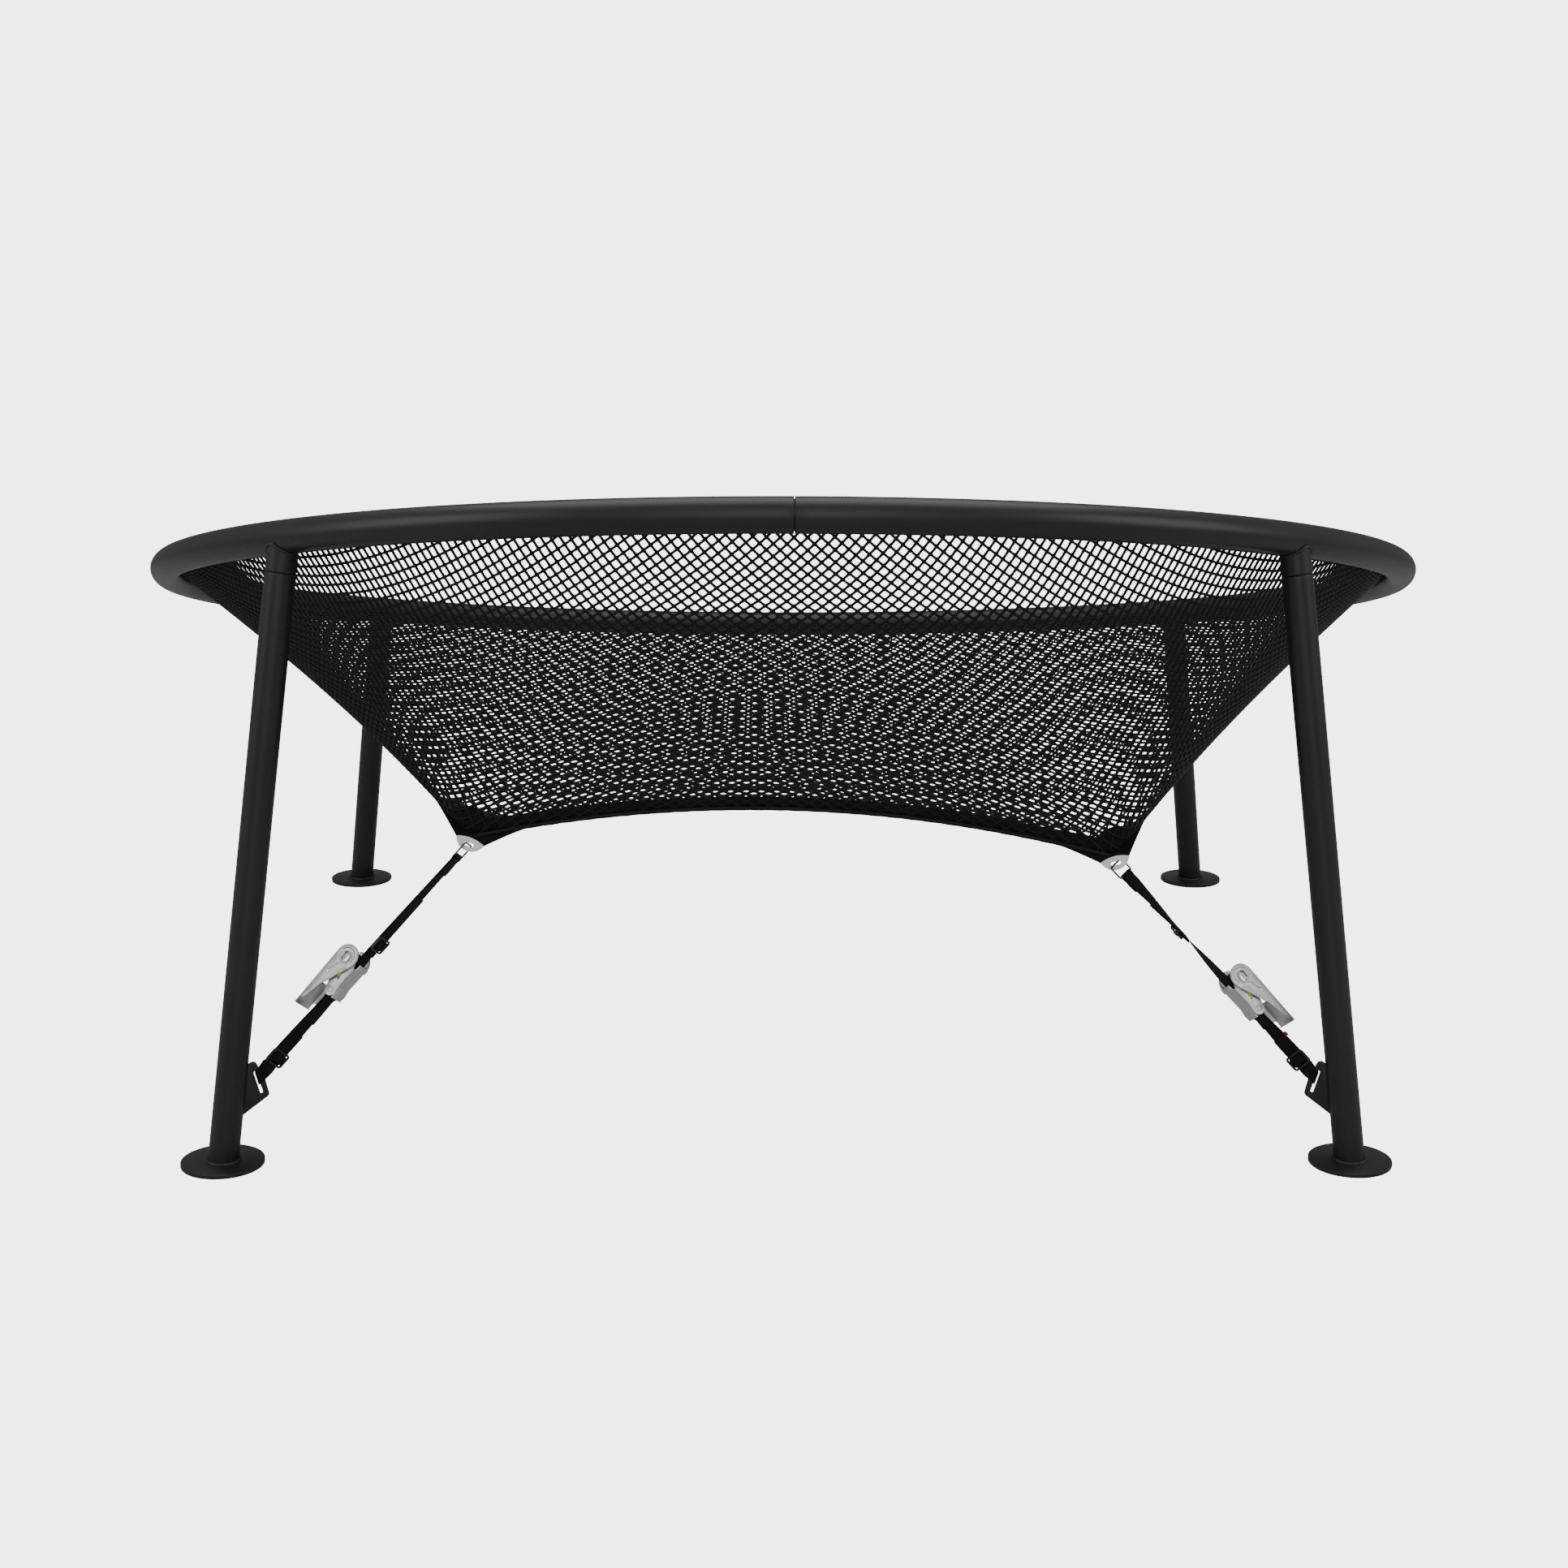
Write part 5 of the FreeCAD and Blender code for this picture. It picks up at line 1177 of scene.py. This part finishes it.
# %% Webbing wound on each spindle
ROLL_STEPS = 72
ROLL_LAP = 0.45
SPINDLE_RADIUS = 8.0
roll_outer, roll_inner = ROLL_RADIUS - WEB_THICK / 2, SPINDLE_RADIUS + LAID
turns = (roll_outer - roll_inner) / (WEB_THICK + ROLL_LAP)
for side, line in straps.items():
    sections, run = [], []
    for part in np.arange(ROLL_STEPS + 1) / ROLL_STEPS:
        angle = math.radians(-90 - 360 * turns * part)
        radius = roll_outer - (roll_outer - roll_inner) * part
        reaches = [(wide, radius + out * WEB_THICK) for wide, out in SECTION]
        sections.append([line.buckle(HUB_ALONG + reach * math.cos(angle), wide * WEB_WIDTH,
                                     HUB_UP + reach * math.sin(angle)) for wide, reach in reaches])
        run.append(radius * MM * math.radians(360 * turns) * part)
    roll = skinned("wound_webbing_" + side, sections, webbing, uv=lambda i, k: (ACROSS[k], run[i]))
    hand_over(roll, "spindle_body_" + side, "webbing", "webbing_roll_" + side)
print("wound turns on each spindle", round(turns, 2))

# %% [markdown]
# ## Where the net meets its corner plates
# The net's folded corner is as wide as the plate that clamps it: a doubled gusset fans out from
# the plate's crown to the keel on one side and to the net's outer edge on the other. A fine
# moulded ridge runs along the crown of each plate, and it is what catches the light there.

# %% Curves of the plates' crowns and of the net's outline
PLATE_HALF_WIDTH = 21.5
PLATE_RISE, PLATE_CROWN = 6.0, 4.5
PLATE_SLOPE = {"left": -22.0, "right": 15.0}
PLATE_THICKNESS = 5.0


def plate_point(side, along, up, out=0.0):
    """A point from the corner plate's own frame, in millimetres from its hole."""
    slope = math.radians(PLATE_SLOPE[side])
    x_axis = np.array([math.cos(slope), 0.0, math.sin(slope)])
    pull = straps[side].along
    y_axis = unit(pull - x_axis * (pull @ x_axis))
    face = np.cross(x_axis, y_axis)
    return (straps[side].hole + x_axis * along + y_axis * up + face * out) * MM


def crown(side, share, drop=0.0, out=0.0):
    """A point on the plate's crown, by share of its width from -1 to 1."""
    rise = PLATE_RISE + PLATE_CROWN * (1 - share * share)
    return plate_point(side, PLATE_HALF_WIDTH * share, rise - drop, out)


def curved(start, control, end, share):
    """A point on a curve that leaves start and reaches end, led by a control point."""
    return start * (1 - share) ** 2 + control * 2 * share * (1 - share) + end * share ** 2


def nearest(spots, corner_spot, reach):
    """The one of several points whose distance from the corner is nearest to a reach."""
    return spots[np.argmin(np.abs(np.linalg.norm(spots - corner_spot, axis=1) - reach))]


def outer_edge(side, reach):
    """The point of the net's seen outline at a distance from its corner."""
    corner_spot, middle = CORNERS[side]
    away = np.array(level_right) * (-1 if side == "left" else 1) - np.array(level_up)
    spots = [nearest(net_point(np.full(200, angle), np.linspace(0.6, 1.0, 200)), corner_spot, reach)
             for angle in np.linspace(middle - 1.2, middle + 1.2, 121)]
    return max(spots, key=lambda spot: spot @ away)


for side in CORNERS:
    print(side, "crown's middle", crown(side, 0.0).round(3))

# %% [markdown]
# The moulded ridge is a fine cord a few millimetres below the crown, one on each face of the
# plate, half sunk into it.

# %% The ridge on a plate's crown
RIDGE_DROP, RIDGE_SHARE, RIDGE_THICKNESS = 3.0, 0.82, 0.0012


def mould_ridge(side):
    """The ridge on both faces of one corner plate."""
    lines = [[crown(side, share, RIDGE_DROP, face * PLATE_THICKNESS / 2)
              for share in np.linspace(-RIDGE_SHARE, RIDGE_SHARE, 25)] for face in (-1, 1)]
    ridge = cords("crown_ridge_" + side, lines, RIDGE_THICKNESS, 8, nylon)
    hand_over(ridge, "base", "plate_plastic")


print("ridge", round(RIDGE_SHARE * PLATE_HALF_WIDTH * 2, 1), "mm wide")

# %% [markdown]
# A gusset is skinned over lines from its keel side to its outer side. Near the plate each line
# bows with the crown, and further in it dips instead, because cloth that is pulled at one
# corner hollows between its two tight edges.

# %% Gussets from the plates' crowns into the net
GUSSET_REACH, SIDE_REACH = 0.095, 0.105
GUSSET_THICKNESS = 0.0028
GUSSET_SHARE, CROWN_DROP = 0.97, 0.6
HOLLOW = 0.42
LEAD = 0.014
for side, (corner_spot, middle) in CORNERS.items():
    inward = 1 if side == "left" else -1
    keel_spots = keel_point(np.linspace(-1, 1, 2001))
    keel_end = nearest(keel_spots, corner_spot, GUSSET_REACH) - ring_normal * NET_THICKNESS
    side_end = outer_edge(side, SIDE_REACH)
    keel_start = crown(side, inward * GUSSET_SHARE, CROWN_DROP)
    side_start = crown(side, -inward * GUSSET_SHARE, CROWN_DROP)
    keel_lead = keel_end + unit(keel_end - nearest(keel_spots, corner_spot, GUSSET_REACH + 0.035)) * 2 * LEAD
    side_lead = side_end + unit(side_end - outer_edge(side, SIDE_REACH + 0.03)) * LEAD
    rows = []
    for share in np.linspace(0, 1, 13):
        first = curved(side_start, side_lead, side_end, share)
        last = curved(keel_start, keel_lead, keel_end, share)
        bow = (crown(side, 0.0, CROWN_DROP) - (side_start + keel_start) / 2) * (1 - share)
        dip = (crown(side, 0.0, CROWN_DROP) - (side_end + keel_end) / 2) * HOLLOW * share
        line = [first + (last - first) * k + (bow + dip) * 4 * k * (1 - k) for k in np.linspace(0, 1, 17)]
        normal = unit(np.cross(last - first, side_end - side_start)) * GUSSET_THICKNESS / 2
        rows.append([spot + normal for spot in line] + [spot - normal for spot in reversed(line)])
    gusset = skinned("corner_gusset_" + side, rows, rim_tape, uv=lambda i, k: (0.005 * k, 0.006 * i))
    hand_over(gusset, "base", "net_rubber_cord")
    mould_ridge(side)

# %% [markdown]
# ## Small fittings
# The wire links are bent from 3 mm wire, so each is a cord on a closed rounded rectangle. Its
# length is what is left between the webbing's fold and the hole in the corner plate.

# %% Wire links
LINK_WIDTH, LINK_CORNER = 29.5, 3.5
for side, line in straps.items():
    length = line.length - line.at["bar"]
    across = line.turned(line.at["bar_roll"])
    centre = line.start + line.along * (line.at["bar"] + length / 2)
    half_length, half_width = length / 2 - LINK_CORNER, LINK_WIDTH / 2 - LINK_CORNER
    loop = []
    for quarter, (sign_along, sign_across) in enumerate(((1, 1), (-1, 1), (-1, -1), (1, -1))):
        for angle in np.radians(90 * quarter + np.linspace(0, 90, 9)):
            spot = centre + line.along * (half_length * sign_along + LINK_CORNER * math.cos(angle))
            loop.append((spot + across * (half_width * sign_across + LINK_CORNER * math.sin(angle))) * MM)
    link = cords("wire_loop_" + side, [loop], LINK_WIRE * MM, 14, nickel_wire, closed=True)
    # One engineered node holds both links, so the first loop stands for it.
    hand_over(link, "base", "zinc_wire", *(["wire_links"] if side == "left" else []))

# %% [markdown]
# Each pawl is pushed by a small spring wound from thin wire, a helix from its seat to the pawl's
# back.

# %% Pawl springs
SPRING_WIRE = 0.0007
COIL_RADIUS = 2.1
COIL_POINTS = 14
# Lean in degrees, start and end from the spindle's middle, travel, and turns.
SPRINGS = {"drive": (166.5, 41.0, 53.0, 6.0, 6), "lock": (199.7, 30.5, 36.5, 5.0, 4)}
for side, line in straps.items():
    for kind, (lean, start, end, travel, rounds) in SPRINGS.items():
        turn = math.radians(lean)
        coil = []
        for i in range(rounds * COIL_POINTS + 1):
            angle = 2 * math.pi * i / COIL_POINTS
            out = start + 0.5 + (end - start - 1.0) * i / (rounds * COIL_POINTS)
            sideways, lift = COIL_RADIUS * math.cos(angle), COIL_RADIUS * math.sin(angle)
            coil.append(line.buckle(HUB_ALONG + out * math.cos(turn) - lift * math.sin(turn), sideways,
                                    HUB_UP + out * math.sin(turn) + lift * math.cos(turn)))
        spring = cords("%s_spring_coil_%s" % (kind, side), [coil], SPRING_WIRE, 8, spring_wire)
        body = "handle_" + side if kind == "drive" else "base"
        hand_over(spring, body, "spring_steel", "%s_spring_%s" % (kind, side))
        seat = line.buckle(HUB_ALONG + end * math.cos(turn), 0.0, HUB_UP + end * math.sin(turn))
        push = unit(seat - line.buckle(HUB_ALONG, 0.0, HUB_UP))
        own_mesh(spring)

# %% [markdown]
# The handle's cheeks are stiffened with pressed lines: an arc round the spindle's hole and a
# straight line towards the grip. The eye pin is riveted over at both ends. These lines and
# heads are less than a millimetre high, but they are what tells pressed sheet from a plain plate.
# The lines are drawn in a darker zinc, which is painted shade for the dark line of a groove.

# %% Pressed lines on the handles and rivet heads on the eye pins
CHEEK_FACE = 20.3
EAR_FACE = 15.2
PRESS_ARC = 12.8
PRESS_LINE = (15.0, 34.0)
HANDLE_LEAN = math.radians(166.5)
press_arc = [(PRESS_ARC * math.cos(a), PRESS_ARC * math.sin(a))
             for a in np.radians(np.linspace(-110, 75, 25))]
press_line = [(r * math.cos(HANDLE_LEAN), r * math.sin(HANDLE_LEAN)) for r in np.linspace(*PRESS_LINE, 8)]
# Radius and height of each round of a rivet's head.
RIVET_HEAD = ((5.0, -0.2), (5.0, 0.3), (4.5, 0.8), (3.2, 1.15), (1.2, 1.3))
spin = np.linspace(0, 2 * math.pi, 28, endpoint=False)
for side, line in straps.items():
    pressed = [[line.buckle(HUB_ALONG + along, face * CHEEK_FACE, HUB_UP + up) for along, up in points]
               for face in (-1, 1) for points in (press_arc, press_line)]
    # The ridges get the darker zinc: painted shade for the dark groove lines.
    press = cords("pressed_lines_" + side, pressed, 0.0011, 6, press_line_painted_shade_zinc)
    hand_over(press, "handle_" + side, "zinc_plate")
    for number, face in enumerate((-1, 1)):
        dome = [[line.buckle(radius * math.cos(a), face * (EAR_FACE + height), radius * math.sin(a))
                 for a in spin] for radius, height in RIVET_HEAD]
        head = skinned("eye_pin_head_%s_%d" % (side, number + 1), dome, zinc)
        hand_over(head, "base", "zinc_plate")

# %% [markdown]
# The red tab is a folded scrap of woven cloth, sewn to the edge of the right strap, with
# nothing on it. It droops a little in the middle, as cloth does between two stitches.

# %% Red tab
TAB_AT, TAB_WIDTH, TAB_DROOP = 77.5, 7.0, 0.35
TAB_ACROSS = [0.0, 0.0033, 0.0062, 0.0064, 0.0066, 0.0095, 0.0128, 0.0128]
tab_sections = []
for share in np.linspace(0, 1, 9):
    distance = TAB_AT + TAB_WIDTH * (share - 0.5)
    droop = TAB_DROOP * math.sin(math.pi * share)
    tab_sections.append([straps["right"].point(distance, height - LAYER, sideways) for height, sideways in (
        (-0.45, 12.2), (-0.4, 15.5), (-0.2 - droop, 18.4), (-droop, 18.6), (0.2 - droop, 18.4),
        (0.4, 15.5), (0.45, 12.2))])
tab = skinned("red_cloth_tab", tab_sections, red_cloth, uv=lambda i, k: (TAB_ACROSS[k], 0.0009 * i))
hand_over(tab, "base", "red_fabric", "red_tab")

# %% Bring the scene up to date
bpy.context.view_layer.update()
